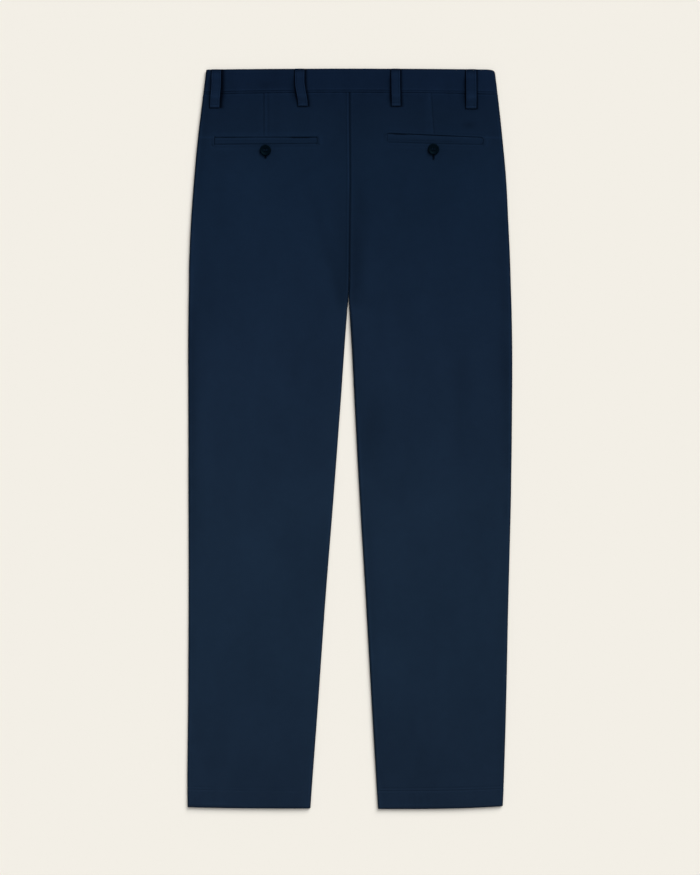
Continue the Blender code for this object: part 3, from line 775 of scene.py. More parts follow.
def twill_weave():
    """Steep diagonal ribs with the yarns' own slubs: a height and a mask of the raised yarn."""
    group, given, made = node_group(
        "twill_weave",
        [
            ("Coordinates", "NodeSocketVector", None),
            ("Grain", "NodeSocketFloat", 0.0),
            ("Ribs", "NodeSocketFloat", 330.0),
            ("Slub", "NodeSocketFloat", 1.5),
        ],
        [("Height", "NodeSocketFloat"), ("Yarn", "NodeSocketFloat")],
    )
    link = group.links.new
    turn = group.nodes.new("ShaderNodeVectorRotate")
    turn.rotation_type = "Z_AXIS"
    link(given.outputs["Coordinates"], turn.inputs["Vector"])
    link(given.outputs["Grain"], turn.inputs["Angle"])

    def bands(direction, scale):
        node = group.nodes.new("ShaderNodeTexWave")
        node.wave_type = "BANDS"
        node.bands_direction = direction
        link(turn.outputs["Vector"], node.inputs["Vector"])
        link(scale, node.inputs["Scale"])
        return node

    ribs = bands("X", given.outputs["Ribs"])
    ribs.inputs["Detail Scale"].default_value = 2.0
    link(given.outputs["Slub"], ribs.inputs["Distortion"])
    picks = bands("Y", math_node(group, "MULTIPLY", given.outputs["Ribs"], 1.6))
    picks.inputs["Distortion"].default_value = 1.0
    fuzz = noise_node(group, given.outputs["Coordinates"], 3200.0, detail=3.0)
    crossed = math_node(group, "MULTIPLY", picks.outputs["Fac"], 0.35)
    height = math_node(group, "ADD", ribs.outputs["Fac"], crossed)
    height = math_node(group, "ADD", height, math_node(group, "MULTIPLY", fuzz, 0.5))
    link(height, made.inputs["Height"])
    link(math_node(group, "MULTIPLY", height, 0.54, clamp=True), made.inputs["Yarn"])
    return group


# The navy dye's colour with painted shade by height up the garment, darker towards the waistband's top
# edge and a little towards the hems; heights from the hems to the waistband's top edge, in metres.
DyeAndShadeStop = namedtuple("DyeAndShadeStop", "height colour")
DYE_AND_SHADE_STOPS = (
    DyeAndShadeStop(-0.53, (0.0090, 0.0187, 0.0374)),
    DyeAndShadeStop(-0.30, (0.0096, 0.0214, 0.0424)),
    DyeAndShadeStop(-0.10, (0.0094, 0.0208, 0.0418)),
    DyeAndShadeStop(0.12, (0.0080, 0.0181, 0.0391)),
    DyeAndShadeStop(0.37, (0.0060, 0.0155, 0.0354)),
    DyeAndShadeStop(0.46, (0.0050, 0.0126, 0.0294)),
    DyeAndShadeStop(0.51, (0.0042, 0.0110, 0.0282)),
)
# Painted shade and painted light: how light the cloth is painted at a relief, in mm: darker pressed
# into a seam, even where level, lighter standing proud of one.
ShadeStop = namedtuple("ShadeStop", "relief shade")
SHADE_STOPS = (
    ShadeStop(-1.0, 0.20),
    ShadeStop(-0.5, 0.52),
    ShadeStop(-0.2, 0.80),
    ShadeStop(0.0, 1.00),
    ShadeStop(0.3, 1.20),
    ShadeStop(0.7, 1.35),
)
SHADE_SCALE = 1.5      # the ramp holds shades as shares of this


def ramp_node(tree, value, stops):
    """A colour ramp over its own stops' span, from (value, colour) pairs."""
    low, high = stops[0][0], stops[-1][0]
    share = math_node(tree, "DIVIDE", math_node(tree, "SUBTRACT", value, low), high - low, clamp=True)
    node = tree.nodes.new("ShaderNodeValToRGB")
    tree.links.new(share, node.inputs["Fac"])
    elements = node.color_ramp.elements
    while len(elements) < len(stops):
        elements.new(0.5)
    for element, (position, colour) in zip(elements, stops):
        element.position = (position - low) / (high - low)
        element.color = (*colour, 1.0)
    return node.outputs["Color"]


def cloth_tone():
    """Colour and roughness of dyed cotton: painted shade by height, painted shade and light by relief,
    tone shifted by fading, nap and yarn, and lighter towards the wearer's left.
    """
    group, given, made = node_group(
        "cloth_tone",
        [
            ("Coordinates", "NodeSocketVector", None),
            ("Tint", "NodeSocketColor", (1.0, 1.0, 1.0, 1.0)),
            ("Yarn", "NodeSocketFloat", 0.5),
            ("Fleck", "NodeSocketFloat", 0.25),
            ("Relief", "NodeSocketFloat", 0.0),
        ],
        [("Color", "NodeSocketColor"), ("Roughness", "NodeSocketFloat")],
    )
    link = group.links.new

    def centred(value, amount):
        """1 plus the value's distance from a half, times amount."""
        return scaled(group, math_node(group, "SUBTRACT", value, 0.5), amount, 1.0)

    def times(first, second):
        return mix_node(group, "MULTIPLY", first, second)

    parts = group.nodes.new("ShaderNodeSeparateXYZ")
    link(given.outputs["Coordinates"], parts.inputs[0])
    # the dye's colour with painted shade by height
    dye = ramp_node(group, parts.outputs["Y"], DYE_AND_SHADE_STOPS)
    grey = tuple((stop.relief, (stop.shade / SHADE_SCALE,) * 3) for stop in SHADE_STOPS)
    # painted shade and light from each point's relief value
    pressed = ramp_node(group, given.outputs["Relief"], grey)
    fade = centred(noise_node(group, given.outputs["Coordinates"], 6.0, detail=2.0), 0.16)
    nap = centred(noise_node(group, given.outputs["Coordinates"], 90.0, detail=4.0), 0.14)
    yarn = centred(given.outputs["Yarn"], given.outputs["Fleck"])
    across = scaled(group, parts.outputs["X"], -0.15, 1.0)
    shade = math_node(group, "MULTIPLY", math_node(group, "MULTIPLY", fade, nap), yarn)
    shade = math_node(group, "MULTIPLY", math_node(group, "MULTIPLY", shade, across), SHADE_SCALE)
    level = group.nodes.new("ShaderNodeCombineColor")
    for channel in ("Red", "Green", "Blue"):
        link(shade, level.inputs[channel])
    colour = times(times(dye, pressed), times(level.outputs["Color"], given.outputs["Tint"]))
    link(colour, made.inputs["Color"])
    link(scaled(group, given.outputs["Yarn"], -0.1, 0.95), made.inputs["Roughness"])
    return group


def mottle():
    """Patches of a dark and a light colour, which a noise mixes, and the noise itself."""
    group, given, made = node_group(
        "mottle",
        [
            ("Coordinates", "NodeSocketVector", None),
            ("Scale", "NodeSocketFloat", 400.0),
            ("Detail", "NodeSocketFloat", 3.0),
            ("Roughness", "NodeSocketFloat", 0.5),
            ("All Dark", "NodeSocketFloat", 0.0),
            ("All Light", "NodeSocketFloat", 1.0),
            ("Dark", "NodeSocketColor", (0.2, 0.2, 0.2, 1.0)),
            ("Light", "NodeSocketColor", (0.8, 0.8, 0.8, 1.0)),
        ],
        [("Color", "NodeSocketColor"), ("Patches", "NodeSocketFloat")],
    )
    link = group.links.new
    patches = group.nodes.new("ShaderNodeTexNoise")
    link(given.outputs["Coordinates"], patches.inputs["Vector"])
    for label in ("Scale", "Detail", "Roughness"):
        link(given.outputs[label], patches.inputs[label])
    lightness = group.nodes.new("ShaderNodeMapRange")
    link(patches.outputs["Fac"], lightness.inputs["Value"])
    link(given.outputs["All Dark"], lightness.inputs["From Min"])
    link(given.outputs["All Light"], lightness.inputs["From Max"])
    dark, light = given.outputs["Dark"], given.outputs["Light"]
    link(mix_node(group, "MIX", dark, light, lightness.outputs["Result"]), made.inputs["Color"])
    link(patches.outputs["Fac"], made.inputs["Patches"])
    return group


TWILL_RIBS = 420.0      # wave scale that puts the ribs about 0.75 mm apart
TWILL_LEAN = math.radians(27.0)
CLOTH_SPECULAR = 0.005
CLOTH_SHEEN = 0.10
CLOTH_SHEEN_ROUGHNESS = 0.28
CLOTH_SHEEN_TINT = (0.55, 0.72, 1.0, 1.0)


def plain_material(name, colour, roughness):
    """A material with its node tree and its shader."""
    material = bpy.data.materials.new(name)
    material.use_nodes = True
    shader = material.node_tree.nodes["Principled BSDF"]
    shader.inputs["Base Color"].default_value = (*colour, 1.0)
    shader.inputs["Roughness"].default_value = roughness
    return material, material.node_tree, shader


def group_node(tree, group, **values):
    """A use of a group, with the numbers and colours that its inputs are set to."""
    node = tree.nodes.new("ShaderNodeGroup")
    node.node_tree = group
    for label, value in values.items():
        node.inputs[label.replace("_", " ")].default_value = value
    return node


def cloth_material(name, tint, grain=TWILL_LEAN, ribs=TWILL_RIBS, fleck=0.7, bump_depth=0.00016):
    """Woven cotton or thread of the navy dye, its grain an angle and its tint a share of the dye."""
    material, tree, shader = plain_material(name, tint, 0.92)
    link = tree.links.new
    where = object_coordinates(tree)
    weave = group_node(tree, GROUPS["weave"], Grain=grain, Ribs=ribs)
    link(where, weave.inputs["Coordinates"])
    tone = group_node(tree, GROUPS["tone"], Tint=(*tint, 1.0), Fleck=fleck)
    link(where, tone.inputs["Coordinates"])
    link(weave.outputs["Yarn"], tone.inputs["Yarn"])
    # each point's relief value, which the tone paints as shade and light
    relief = tree.nodes.new("ShaderNodeAttribute")
    relief.attribute_name = "relief"
    link(relief.outputs["Fac"], tone.inputs["Relief"])
    link(tone.outputs["Color"], shader.inputs["Base Color"])
    link(tone.outputs["Roughness"], shader.inputs["Roughness"])
    link(bump_node(tree, weave.outputs["Height"], bump_depth, 0.8), shader.inputs["Normal"])
    shader.inputs["Specular IOR Level"].default_value = CLOTH_SPECULAR
    shader.inputs["Sheen Weight"].default_value = CLOTH_SHEEN
    shader.inputs["Sheen Roughness"].default_value = CLOTH_SHEEN_ROUGHNESS
    shader.inputs["Sheen Tint"].default_value = CLOTH_SHEEN_TINT
    return material


GROUPS = {"weave": twill_weave(), "tone": cloth_tone(), "mottle": mottle()}
TWILL = cloth_material("navy_twill", (1.07, 1.055, 1.045))
BAND = cloth_material("navy_twill_crosswise", (1.04, 1.01, 1.0), grain=TWILL_LEAN + math.pi / 2)
# The belt loops' twill, the same navy twill painted lighter.
TRIM_PAINTED_LIGHTER = cloth_material("navy_twill_trim_painted_lighter", (1.24, 1.20, 1.18), fleck=0.6)
THREAD = cloth_material("navy_thread", (0.95, 0.95, 0.95), ribs=900.0, bump_depth=0.00004)
DARK_THREAD = cloth_material("black_thread", (0.45, 0.45, 0.45), ribs=900.0, bump_depth=0.00004)
BUTTON_THREAD = cloth_material("button_thread", (0.55, 0.60, 0.62), ribs=900.0, bump_depth=0.00004)
TAPE = cloth_material("zip_tape_weave", (0.8, 0.7, 0.6), grain=0.0, ribs=700.0)


def mottled(tree, shader, dark, light, **values):
    """Gives a shader's colour patches, and returns the noise that makes them."""
    patches = group_node(tree, GROUPS["mottle"], Dark=(*dark, 1.0), Light=(*light, 1.0), **values)
    tree.links.new(object_coordinates(tree), patches.inputs["Coordinates"])
    tree.links.new(patches.outputs["Color"], shader.inputs["Base Color"])
    return patches.outputs["Patches"]


def horn_material():
    """Dark polished button: faint streaks in the colour and scuffs in its satin face."""
    material, tree, shader = plain_material("dark_horn", (0.004, 0.006, 0.010), 0.35)
    mottled(
        tree, shader, (0.0002, 0.0017, 0.0038), (0.0009, 0.0038, 0.0076),
        Scale=420.0, Detail=4.0, Roughness=0.6, All_Dark=0.35, All_Light=0.75,
    )
    scuffs = noise_node(tree, object_coordinates(tree), 2600.0, detail=3.0)
    tree.links.new(scaled(tree, scuffs, 0.25, 0.28), shader.inputs["Roughness"])
    tree.links.new(bump_node(tree, scuffs, 0.00003), shader.inputs["Normal"])
    shader.inputs["Specular IOR Level"].default_value = 0.022
    shader.inputs["Specular Tint"].default_value = (0.35, 0.8, 1.0, 1.0)
    return material


def brass_material():
    """Tarnished brass, duller where it is lighter."""
    material, tree, shader = plain_material("antique_brass", (0.32, 0.25, 0.14), 0.4)
    tarnish = mottled(
        tree, shader, (0.16, 0.115, 0.055), (0.42, 0.33, 0.19), Scale=700.0, Detail=5.0,
    )
    tree.links.new(scaled(tree, tarnish, 0.3, 0.25), shader.inputs["Roughness"])
    shader.inputs["Metallic"].default_value = 1.0
    return material


HORN = horn_material()
BRASS = brass_material()


# ---------------------------------------------------------------- fine relief of the back
def welt_line(leg, x, part):
    """Distance down of a welt's top or foot line at x, carried on level past its ends."""
    welt = WELTS[leg]
    share = np.clip((x - welt.x_start) / (welt.x_end - welt.x_start), 0.0, 1.0)
    start, end = getattr(welt, part + "_start"), getattr(welt, part + "_end")
    return mix(start, end, share)


def dart_x(leg, down):
    """The dart's line, from the waist seam to the pocket."""
    dart = DARTS[leg]
    share = np.clip((down - BAND_DEPTH) / (WELT_TOP_ROW - BAND_DEPTH), 0, 1)
    return mix(dart.x_top, dart.x_foot, share)


def dart_relief(x, down, leg):
    """The tuck a dart takes in, its sewn fold and the print of its far edge."""
    dart = DARTS[leg]
    gap = dart.towards_centre * (x - dart_x(leg, down))
    pocket_top = welt_line(leg, x, "top")
    above_pocket = ease_out(down, pocket_top - 3.0, pocket_top - 0.5)
    tuck = 0.22 * ease(gap, 0.3, 1.6) * ease_out(gap, dart.intake - 2.2, dart.intake - 0.4)
    lines = -dart.fold * bump(gap, 0.75) - dart.imprint * bump(gap - dart.intake, 0.9)
    beyond = 0.14 * bump(gap - dart.intake - 2.6, 1.2) + 0.08 * bump(gap + 2.4, 1.2)
    return (tuck + lines + beyond) * above_pocket


def pocket_relief(x, down, leg):
    """The window that the welt fills, with the panel's turned edges and stitching round it."""
    welt, look = WELTS[leg], POCKET_LOOKS[leg]
    beside = np.maximum(welt.x_start - x, x - welt.x_end)
    top, foot = welt_line(leg, x, "top"), welt_line(leg, x, "foot")
    beyond = np.maximum(top - down, down - foot)
    across, past = beside + look.corner, beyond + look.corner
    outside = np.hypot(np.maximum(across, 0), np.maximum(past, 0)) - look.corner
    outside = outside + np.minimum(np.maximum(across, past), 0)
    window = -np.where(down < top + 2.0, 1.0, look.foot_line) * ease_out(outside, -0.5, 0.6)
    lip = 0.20 * bump(outside - 1.9, 1.1)
    below = down > foot
    stitched = -np.where(below, look.sewn_below, look.sewn_above) * bump(outside - 3.2, 0.8)
    stitched = stitched - look.groove * bump(outside - 0.4, 0.6) * below
    within = ease(down, top - 3.0, top) * ease_out(down, foot, foot + 3.0)
    ends = look.end_line * (0.3 * bump(beside - 1.6, 0.8) - bump(beside - 0.2, 0.9))
    bars = 0.14 * bump(beside - 6.0, 0.9) - look.end_bars * bump(beside - 3.8, 0.9)
    return window + lip + stitched + (ends + bars) * within + 0.12 * bump(outside - 6.0, 1.2)


def mouth_shadow_lessened(leg, x):
    """How much the painted shadow along the pocket's mouth is lessened, which paints it lighter, by x.
    """
    if leg == "left":
        return 0.55 * bump(x + 122, 42) + 0.28 * ease_out(x, -186, -174)
    return 0.40 * ease(x, 140, 168)


def seat_seam_relief(x, down, leg):
    """The centre-back seam's groove, and the ridge of its allowances on the left."""
    gap = np.abs(x - along(leg + "_inner", down))
    closed = ease_out(down, *SEAT_SEAM_ENDS)
    pulled = ease(down, *SEAT_SEAM_PULLED)
    sunk = mix(0.68, 1.0, pulled)
    if leg == "left":
        ridge = 0.34 * ease(gap, 0.5, 1.5) * ease_out(gap, 3.2, 4.6) * mix(1.0, 0.3, pulled)
        return (ridge - 0.40 * sunk * bump(gap, 0.7) - 0.12 * bump(gap - 5.0, 0.8)) * closed
    return (-0.45 * sunk * bump(gap, 0.9) + 0.08 * bump(gap - 3.0, 1.4)) * closed


def crotch_valley(x, down, leg):
    """Depth to which the seat's middle sinks towards the crotch, beside its seam."""
    gap = np.abs(x - along(leg + "_inner", down))
    reach = ease(down, *VALLEY_GROWS) * ease_out(down, *VALLEY_ENDS)
    return reach * bump(gap - 6.0, mix(20.0, 15.0, ease(down, *VALLEY_NARROWS)))


def edge_relief(x, down, leg):
    """Seam allowances pressed open inside the side folds and inside legs."""
    from_side = np.abs(x - along(leg + "_side", down))
    from_inner = np.abs(x - along(leg + "_inner", down))
    open_leg = ease(down, *LEGS_PART)
    pinch = bump(from_side, 8.0) + open_leg * bump(from_inner, 8.0)
    line = bump(from_side - 3.9, 1.0) + open_leg * bump(from_inner - 3.9, 1.0)
    return (0.08 * RUMPLE.at(x * 1.7, down * 2.6) + 0.05) * pinch + 0.13 * line


def hem_relief(x, down):
    """The hem's stitched line, the draw of the cloth along it and the turned-up layer's edge."""
    up = LENGTH - down
    above = up - HEM_STITCH
    strength = np.where(x < 0, 0.25, 1.5) + 0.5 * SLACK.at(x * 2.3, 40.0) + 0.9 * bump(x + 208, 16.0)
    stitched = -(0.13 * bump(above - 2.0, 0.8) + 0.09 * bump(above - 6.0, 0.8)) * strength
    proud = (0.20 * bump(above + 0.2, 0.8) + 0.10 * bump(above - 4.0, 0.8)) * strength
    drawn = ease(SLACK.at(x, 3.0), 0.0, 0.5)
    draw = 0.12 * RUMPLE.at(x * 4.6, down * 0.5) * bump(up - 13.0, 7.0) * drawn
    fold_line = (0.16 * bump(up - 5.6, 1.0) - 0.12 * bump(up - 3.8, 0.9)) * (0.6 + SLACK.at(x, 9.0))
    return stitched + proud + draw + fold_line


def hem_fullness(x, down):
    """The turned-up cloth's thickness, roped a little because it is drawn along its stitching."""
    up = LENGTH - down
    roping = 0.16 * RUMPLE.at(x * 1.5 + up * 0.7, 60.0) * bump(up - 12.0, 11.0)
    return HEM_FULLNESS * ease_out(up, HEM_DEPTH - 1.0, HEM_DEPTH + 4.0) + roping


def loop_painted_shadow(x, down):
    """Painted shadow on the cloth close beside and below each belt loop."""
    total = 0.0 * x
    for loop in BACK_LOOPS:
        off = x - loop_middle_x(loop, down)
        reach = np.where(off > 0, loop.pressed_right, loop.pressed_left)
        beside = (np.abs(off) - loop.width / 2) / reach
        below = (down - loop.foot + 0.6) / 1.8
        away = np.maximum(np.maximum(beside, below), 0.0)
        total = total - np.where(off > 0, 1.05, 0.85) * np.exp(-(away ** 3))
    return total


def dented(dent, x, down):
    """How far a dent presses the cloth in."""
    return dent.depth * bump(x - dent.x, dent.half_x) * bump(down - dent.down, dent.half_down)


def back_relief(x, down, leg):
    """Fine heights of the back, in mm, over the garment's form, which the panel also paints as shade
    and light.
    """
    button, slit = BACK_BUTTONS[leg], BUTTONHOLES[leg]
    held = bump(np.hypot(x - button.x, down - button.down), 10.0)
    below_top = ease(down, slit.top - 0.3, slit.top + 0.3)
    in_slit = below_top * ease_out(down, slit.foot - 0.3, slit.foot + 0.3)
    band_gap = down - BAND_DEPTH
    height = (
        dart_relief(x, down, leg)
        + pocket_relief(x, down, leg)
        + seat_seam_relief(x, down, leg)
        + edge_relief(x, down, leg)
        + hem_relief(x, down)
        - 0.30 * bump(band_gap, 0.8)
        + 0.22 * bump(band_gap - 2.0, 1.0)
        - 0.20 * held
        - 0.9 * bump(x - slit.x, SLIT_HALF + 0.3) * in_slit
        + 0.16 * PUCKER.at(x, down * 0.35) * bump(band_gap, 9.0)
    )
    for dent in DENTS:
        height = height - dented(dent, x, down)
    if leg == "left":
        # two short ridges under the pocket's outer end
        for ridge_down in (110.3, 114.8):
            ridge = 0.14 * bump(down - ridge_down, 1.0)
            height = height + ridge * ease(x, -189, -185) * ease_out(x, -162, -150)
    return height


def back_painted_light_and_shade(x, down, leg):
    """Painted shade, below 0, and painted light, above 0, besides the fine relief: over the folds,
    beside the belt loops, in the crotch's valley, at the pocket's mouth and along set lines, with a
    little random tone.
    """
    folds = fold_height(BACK_FOLDS, x, down) * 0.10 + fold_height(FINE_FOLDS, x, down) * 0.2
    return (
        folds
        + loop_painted_shadow(x, down)
        - 0.17 * crotch_valley(x, down, leg)
        + mouth_shadow_lessened(leg, x) * bump(down - welt_line(leg, x, "top"), 1.2)
        + fold_height(PAINTED_LIGHT_AND_SHADE, x, down)
        + 0.05 * SLACK.at(x * 0.7, down * 1.4)
        + 0.03 * RUMPLE.at(x, down * 0.8)
    )


def rim_painted_shade(panel, columns, downs):
    """Painted shade where cloth turns under at an edge, less where a seam holds the edge flat."""
    turned = np.array([0.0 if c.zone == "flat" else (1 - c.share) ** 1.2 for c in columns])
    at_inner = np.array([c.zone == "inner" for c in columns])
    inner = RIM_FULLER if panel.leg == "right" and panel.up > 0 else RIM_OPEN
    return -turned * np.where(at_inner, mix(RIM_SEWN, inner, panel.inner_roll(downs)), RIM_OPEN)


def back_softness(x, down, leg):
    """Broad unevenness, which is not painted as shade."""
    return (
        0.26 * SLACK.at(x, down)
        + 0.07 * RUMPLE.at(x, down)
        + fold_height(FINE_FOLDS, x, down)
        + hem_fullness(x, down)
        - crotch_valley(x, down, leg)
    )


# ---------------------------------------------------------------- panels
def row_plan(*stretches):
    """Distances down, from (end, steps, graded or not) after a first number."""
    rows = [stretches[0]]
    for end, steps, fine in stretches[1:]:
        start = rows[-1]
        shares = [i / steps for i in range(1, steps + 1)]
        rows += [mix(start, end, graded(share) if fine else share) for share in shares]
    return np.array(rows)


HEM_RADIUS = TWILL_THICK + 0.08
PANEL_TOP = BAND_DEPTH + 0.1
HEM_STRETCHES = ((LENGTH - 20.0, 20, False), (LENGTH - HEM_RADIUS, 16, False))
HEM_ROWS = 20          # the last rows, which the turned-up hem lies under
BACK_ROWS = row_plan(
    PANEL_TOP, (50.0, 11, False), (60.0, 9, False), (WELT_TOP_ROW, 16, True),
    (WELT_FOOT_ROW, 10, True), (132.0, 16, True), (300.0, 40, False), (343.0, 14, False),
    (LENGTH - 33.0, 124, False), *HEM_STRETCHES,
)


def straight_rows(rows, columns):
    """Distances down of a grid whose rows run straight across."""
    return np.repeat(rows[:, None], len(columns), axis=1)


def line_share(leg, x_at, share):
    """A column line that starts at x_at(down) and drifts to a share of the panel's width."""
    def line(down):
        side, inner = along(leg + "_side", down), along(leg + "_inner", down)
        return mix(x_at(down), mix(side, inner, share), ease(down, *LINES_SETTLE))

    return line


def edge(leg, part, offset=0.0):
    """The laid leg's side or inner edge, or a line offset from it."""
    return lambda down: along(f"{leg}_{part}", down) + offset


def seam_edge(leg):
    """A panel's inner edge, half a gap off the seam."""
    return edge(leg, "inner", -INWARDS[leg] * EDGE_GAP / 2)


def loop_edge(loop, side):
    """The long edge of a belt loop towards +x (side 1) or -x (side -1)."""
    return lambda down: loop_middle_x(loop, down) + side * loop.width / 2


def then_to(line, x_end):
    """A line that passes over, above the pocket, to the pocket's end at x_end."""
    return lambda down: mix(line(down), x_end, ease(down, 58.0, 88.0))


def constant(value):
    """A line, or an amount of roll, that stays the same all the way down."""
    return lambda down: value + 0.0 * down


full, flat = constant(1.0), constant(0.0)


def seam_roll(down):
    """How far the inner edge rolls over: hardly in the seat's seam, wholly in the leg."""
    return np.clip(along("roll", down), 0.0, 1.0)


def back_panel(leg):
    """A back panel, whose columns follow the belt loops' edges, the dart and the pocket's ends."""
    outwards = -INWARDS[leg]
    welt = WELTS[leg]
    ends, loops = (welt.x_start, welt.x_end), (BACK_LOOPS[0], BACK_LOOPS[1])
    if leg == "right":
        ends, loops = (welt.x_end, welt.x_start), (BACK_LOOPS[3], BACK_LOOPS[2])

    def centre_line(down):
        return mix(dart_x(leg, down), BUTTONHOLES[leg].x, ease(down, WELT_TOP_ROW, WELT_FOOT_ROW))

    return Panel(
        side=edge(leg, "side"),
        inner=seam_edge(leg),
        side_roll=full,
        inner_roll=seam_roll,
        level=lambda x, down: back_level(x, down, leg),
        up=1,
        lines=(
            line_share(leg, then_to(loop_edge(loops[0], outwards), ends[0]), 0.10),
            line_share(leg, loop_edge(loops[0], -outwards), 0.18),
            line_share(leg, centre_line, 0.44),
            line_share(leg, loop_edge(loops[1], outwards), 0.66),
            line_share(leg, then_to(loop_edge(loops[1], -outwards), ends[1]), 0.79),
            edge(leg, "inner", outwards * 9.0),
        ),
        leg=leg,
    )


def slanted_rows(rows, columns, panel, leg):
    """Rows that follow the welt's top and foot lines where they pass it."""
    reference = np.full(1, WELT_TOP_ROW)
    x = np.array([panel.point(reference, column)[0][0] for column in columns])
    nominal = rows[:, None]
    top_shift = welt_line(leg, x, "top")[None] - WELT_TOP_ROW
    foot_shift = welt_line(leg, x, "foot")[None] - WELT_FOOT_ROW
    before = ease(nominal, 58.0, WELT_TOP_ROW) * top_shift
    within = np.clip((nominal - WELT_TOP_ROW) / (WELT_FOOT_ROW - WELT_TOP_ROW), 0.0, 1.0)
    after = ease_out(nominal, WELT_FOOT_ROW, 150.0) * foot_shift
    shift = np.where(nominal < WELT_TOP_ROW, before, mix(top_shift, foot_shift, within))
    return nominal + np.where(nominal > WELT_FOOT_ROW, after, shift)


def edge_fade(columns):
    """Share of the relief that each column takes: none at the rolled edge itself."""
    return np.array([1.0 if c.zone == "flat" else c.share ** 0.5 for c in columns])[None, :]


def with_hem(outer, up):
    """The grid carried on round the hem's fold and up inside the leg."""
    normal = grid_normals(outer, up)
    last = outer[-1]
    lengthwise = outer[-1] - outer[-2]
    lengthwise /= np.linalg.norm(lengthwise, axis=1, keepdims=True)
    arc = [
        last - normal[-1] * HEM_RADIUS * (1 - math.cos(a)) + lengthwise * HEM_RADIUS * math.sin(a)
        for a in (math.radians(step) for step in range(30, 180, 30))
    ]
    turned = [outer[-k] - normal[-k] * 2 * HEM_RADIUS for k in range(1, HEM_ROWS + 1)]
    return np.concatenate((outer, np.stack(arc), np.stack(turned)))


def panel_shell(name, panel, columns, downs, relief, softness, shading):
    """A cloth panel with its relief and its turned-up hem, the relief also painted as shade and light,
    with painted shade at its turned-under edges and along the hem's fold.
    """
    x, positions = panel.lay(columns, downs)
    fade = edge_fade(columns)
    pressed = relief(x, downs) * fade
    normal = grid_normals(positions, panel.up)
    outer = positions + normal * (pressed + softness(x, downs) * fade)[..., None]
    hemmed = with_hem(outer, panel.up)
    painted_shading = np.zeros(hemmed.shape[:2])
    # painted shade along the hem's fold
    painted_hem_shade = -0.55 * bump(LENGTH - HEM_RADIUS - downs, 1.3)
    painted_shading[: len(pressed)] = pressed + shading(x, downs) + rim_painted_shade(panel, columns, downs) + painted_hem_shade
    return shell(name, hemmed, TWILL_THICK, TWILL, up=panel.up, relief=painted_shading)


BACK_COLUMNS = columns_for((16, 8, 18, 14, 8, 12, 18), 7, 5)


def make_back_panel(leg):
    """A leg's back, from the waist seam to the hem, with its relief and its painted shade and light."""
    panel = back_panel(leg)
    downs = slanted_rows(BACK_ROWS, BACK_COLUMNS, panel, leg)
    return panel_shell(
        f"back_panel_{leg}_cloth", panel, BACK_COLUMNS, downs,
        lambda x, down: back_relief(x, down, leg),
        lambda x, down: back_softness(x, down, leg),
        lambda x, down: back_painted_light_and_shade(x, down, leg),
    )


FRONT_ROWS = row_plan(
    PANEL_TOP, (60.0, 12, True), (MOUTH_FOOT, 30, False), (FLY_SETTLED, 14, False),
    (LENGTH - 33.0, 110, False), *HEM_STRETCHES,
)
FRONT_COLUMNS = columns_for((10, 26, 16, 9), 5, 5)
FLY_STITCH = 38.0      # width of the fly's stitched facing


def pocket_mouth(leg):
    """The slanted mouth's line, which below its foot runs into the side fold."""
    def mouth(down):
        share = np.minimum(1.0, (down - BAND_DEPTH) / (MOUTH_FOOT - BAND_DEPTH))
        inset = mix(MOUTH_TOP_INSET, MOUTH_FOOT_INSET, share)
        inset = inset * ease_out(down, MOUTH_FOOT, MOUTH_CLOSED)
        return along(leg + "_side", down) + INWARDS[leg] * inset

    return mouth


def fly_edge(leg):
    """The front's inner edge: straight at the fly, then over to the seam below it."""
    seam = seam_edge(leg)
    return lambda down: mix(FLY_EDGE_X[leg], seam(down), ease(down, FLY_CURVE_START, FLY_CURVE_END))


def front_panel(leg):
    """A front panel, whose columns follow the mouth's stitching and the fly's facing."""
    inwards = INWARDS[leg]
    mouth, inner = pocket_mouth(leg), fly_edge(leg)
    return Panel(
        side=mouth,
        inner=inner,
        side_roll=lambda down: ease(down, MOUTH_FOOT, MOUTH_CLOSED),
        inner_roll=lambda down: ease(down, FRONT_ROLL_START, FRONT_ROLL_FULL),
        level=front_level(leg, TWILL_THICK),
        up=-1,
        lines=(
            lambda down: mouth(down) + inwards * 14.0,
            lambda down: inner(down) - inwards * (FLY_STITCH + 6.0),
            lambda down: inner(down) - inwards * 8.0,
        ),
        leg=leg,
    )


def fly_stitch_x(down):
    """The J-shaped line of the fly: straight beside the lap, then curving in to the seam."""
    turn = np.clip((down - 150.0) / 50.0, 0.0, 1.0)
    return FLY_LAP_X - FLY_STITCH * np.sqrt(np.maximum(0.0, 1 - turn ** 2.4))


def front_relief(x, down, leg):
    """Fine heights of the front's outer face, towards the surface it lies on, which are also painted as
    shade and light.
    """
    mouth_gap = np.abs(x - pocket_mouth(leg)(down))
    fly_gap = np.abs(x - fly_edge(leg)(down))
    beside_pocket = ease_out(down, MOUTH_FOOT, MOUTH_CLOSED)
    groove = -0.14 * bump(mouth_gap - 6.0, 0.9) * beside_pocket
    if leg == "left":
        groove = groove - 0.14 * bump(x - fly_stitch_x(down), 0.9) * ease_out(down, 196, 202)
    crotch = -0.35 * bump(fly_gap, 0.9) * ease(down, 200, 215) * ease_out(down, 290, 330)
    seam = -0.30 * bump(down - BAND_DEPTH, 1.0)
    return groove + crotch + seam + 0.4 * np.minimum(hem_relief(x + 400, down), 0.0)


def front_softness(x, down):
    """Only hollows, because the cloth lies on a flat surface."""
    return 0.10 * (SLACK.at(x + 700, down) - 1.0) + 0.04 * (RUMPLE.at(x + 700, down) - 1.0)


def make_front_panel(leg):
    """A leg's front, which the garment lies on."""
    panel = front_panel(leg)
    downs = straight_rows(FRONT_ROWS, FRONT_COLUMNS)
    return panel_shell(
        f"front_panel_{leg}_cloth", panel, FRONT_COLUMNS, downs,
        lambda x, down: front_relief(x, down, leg), front_softness,
        lambda x, down: 0.12 * SLACK.at(x + 500, down),
    )


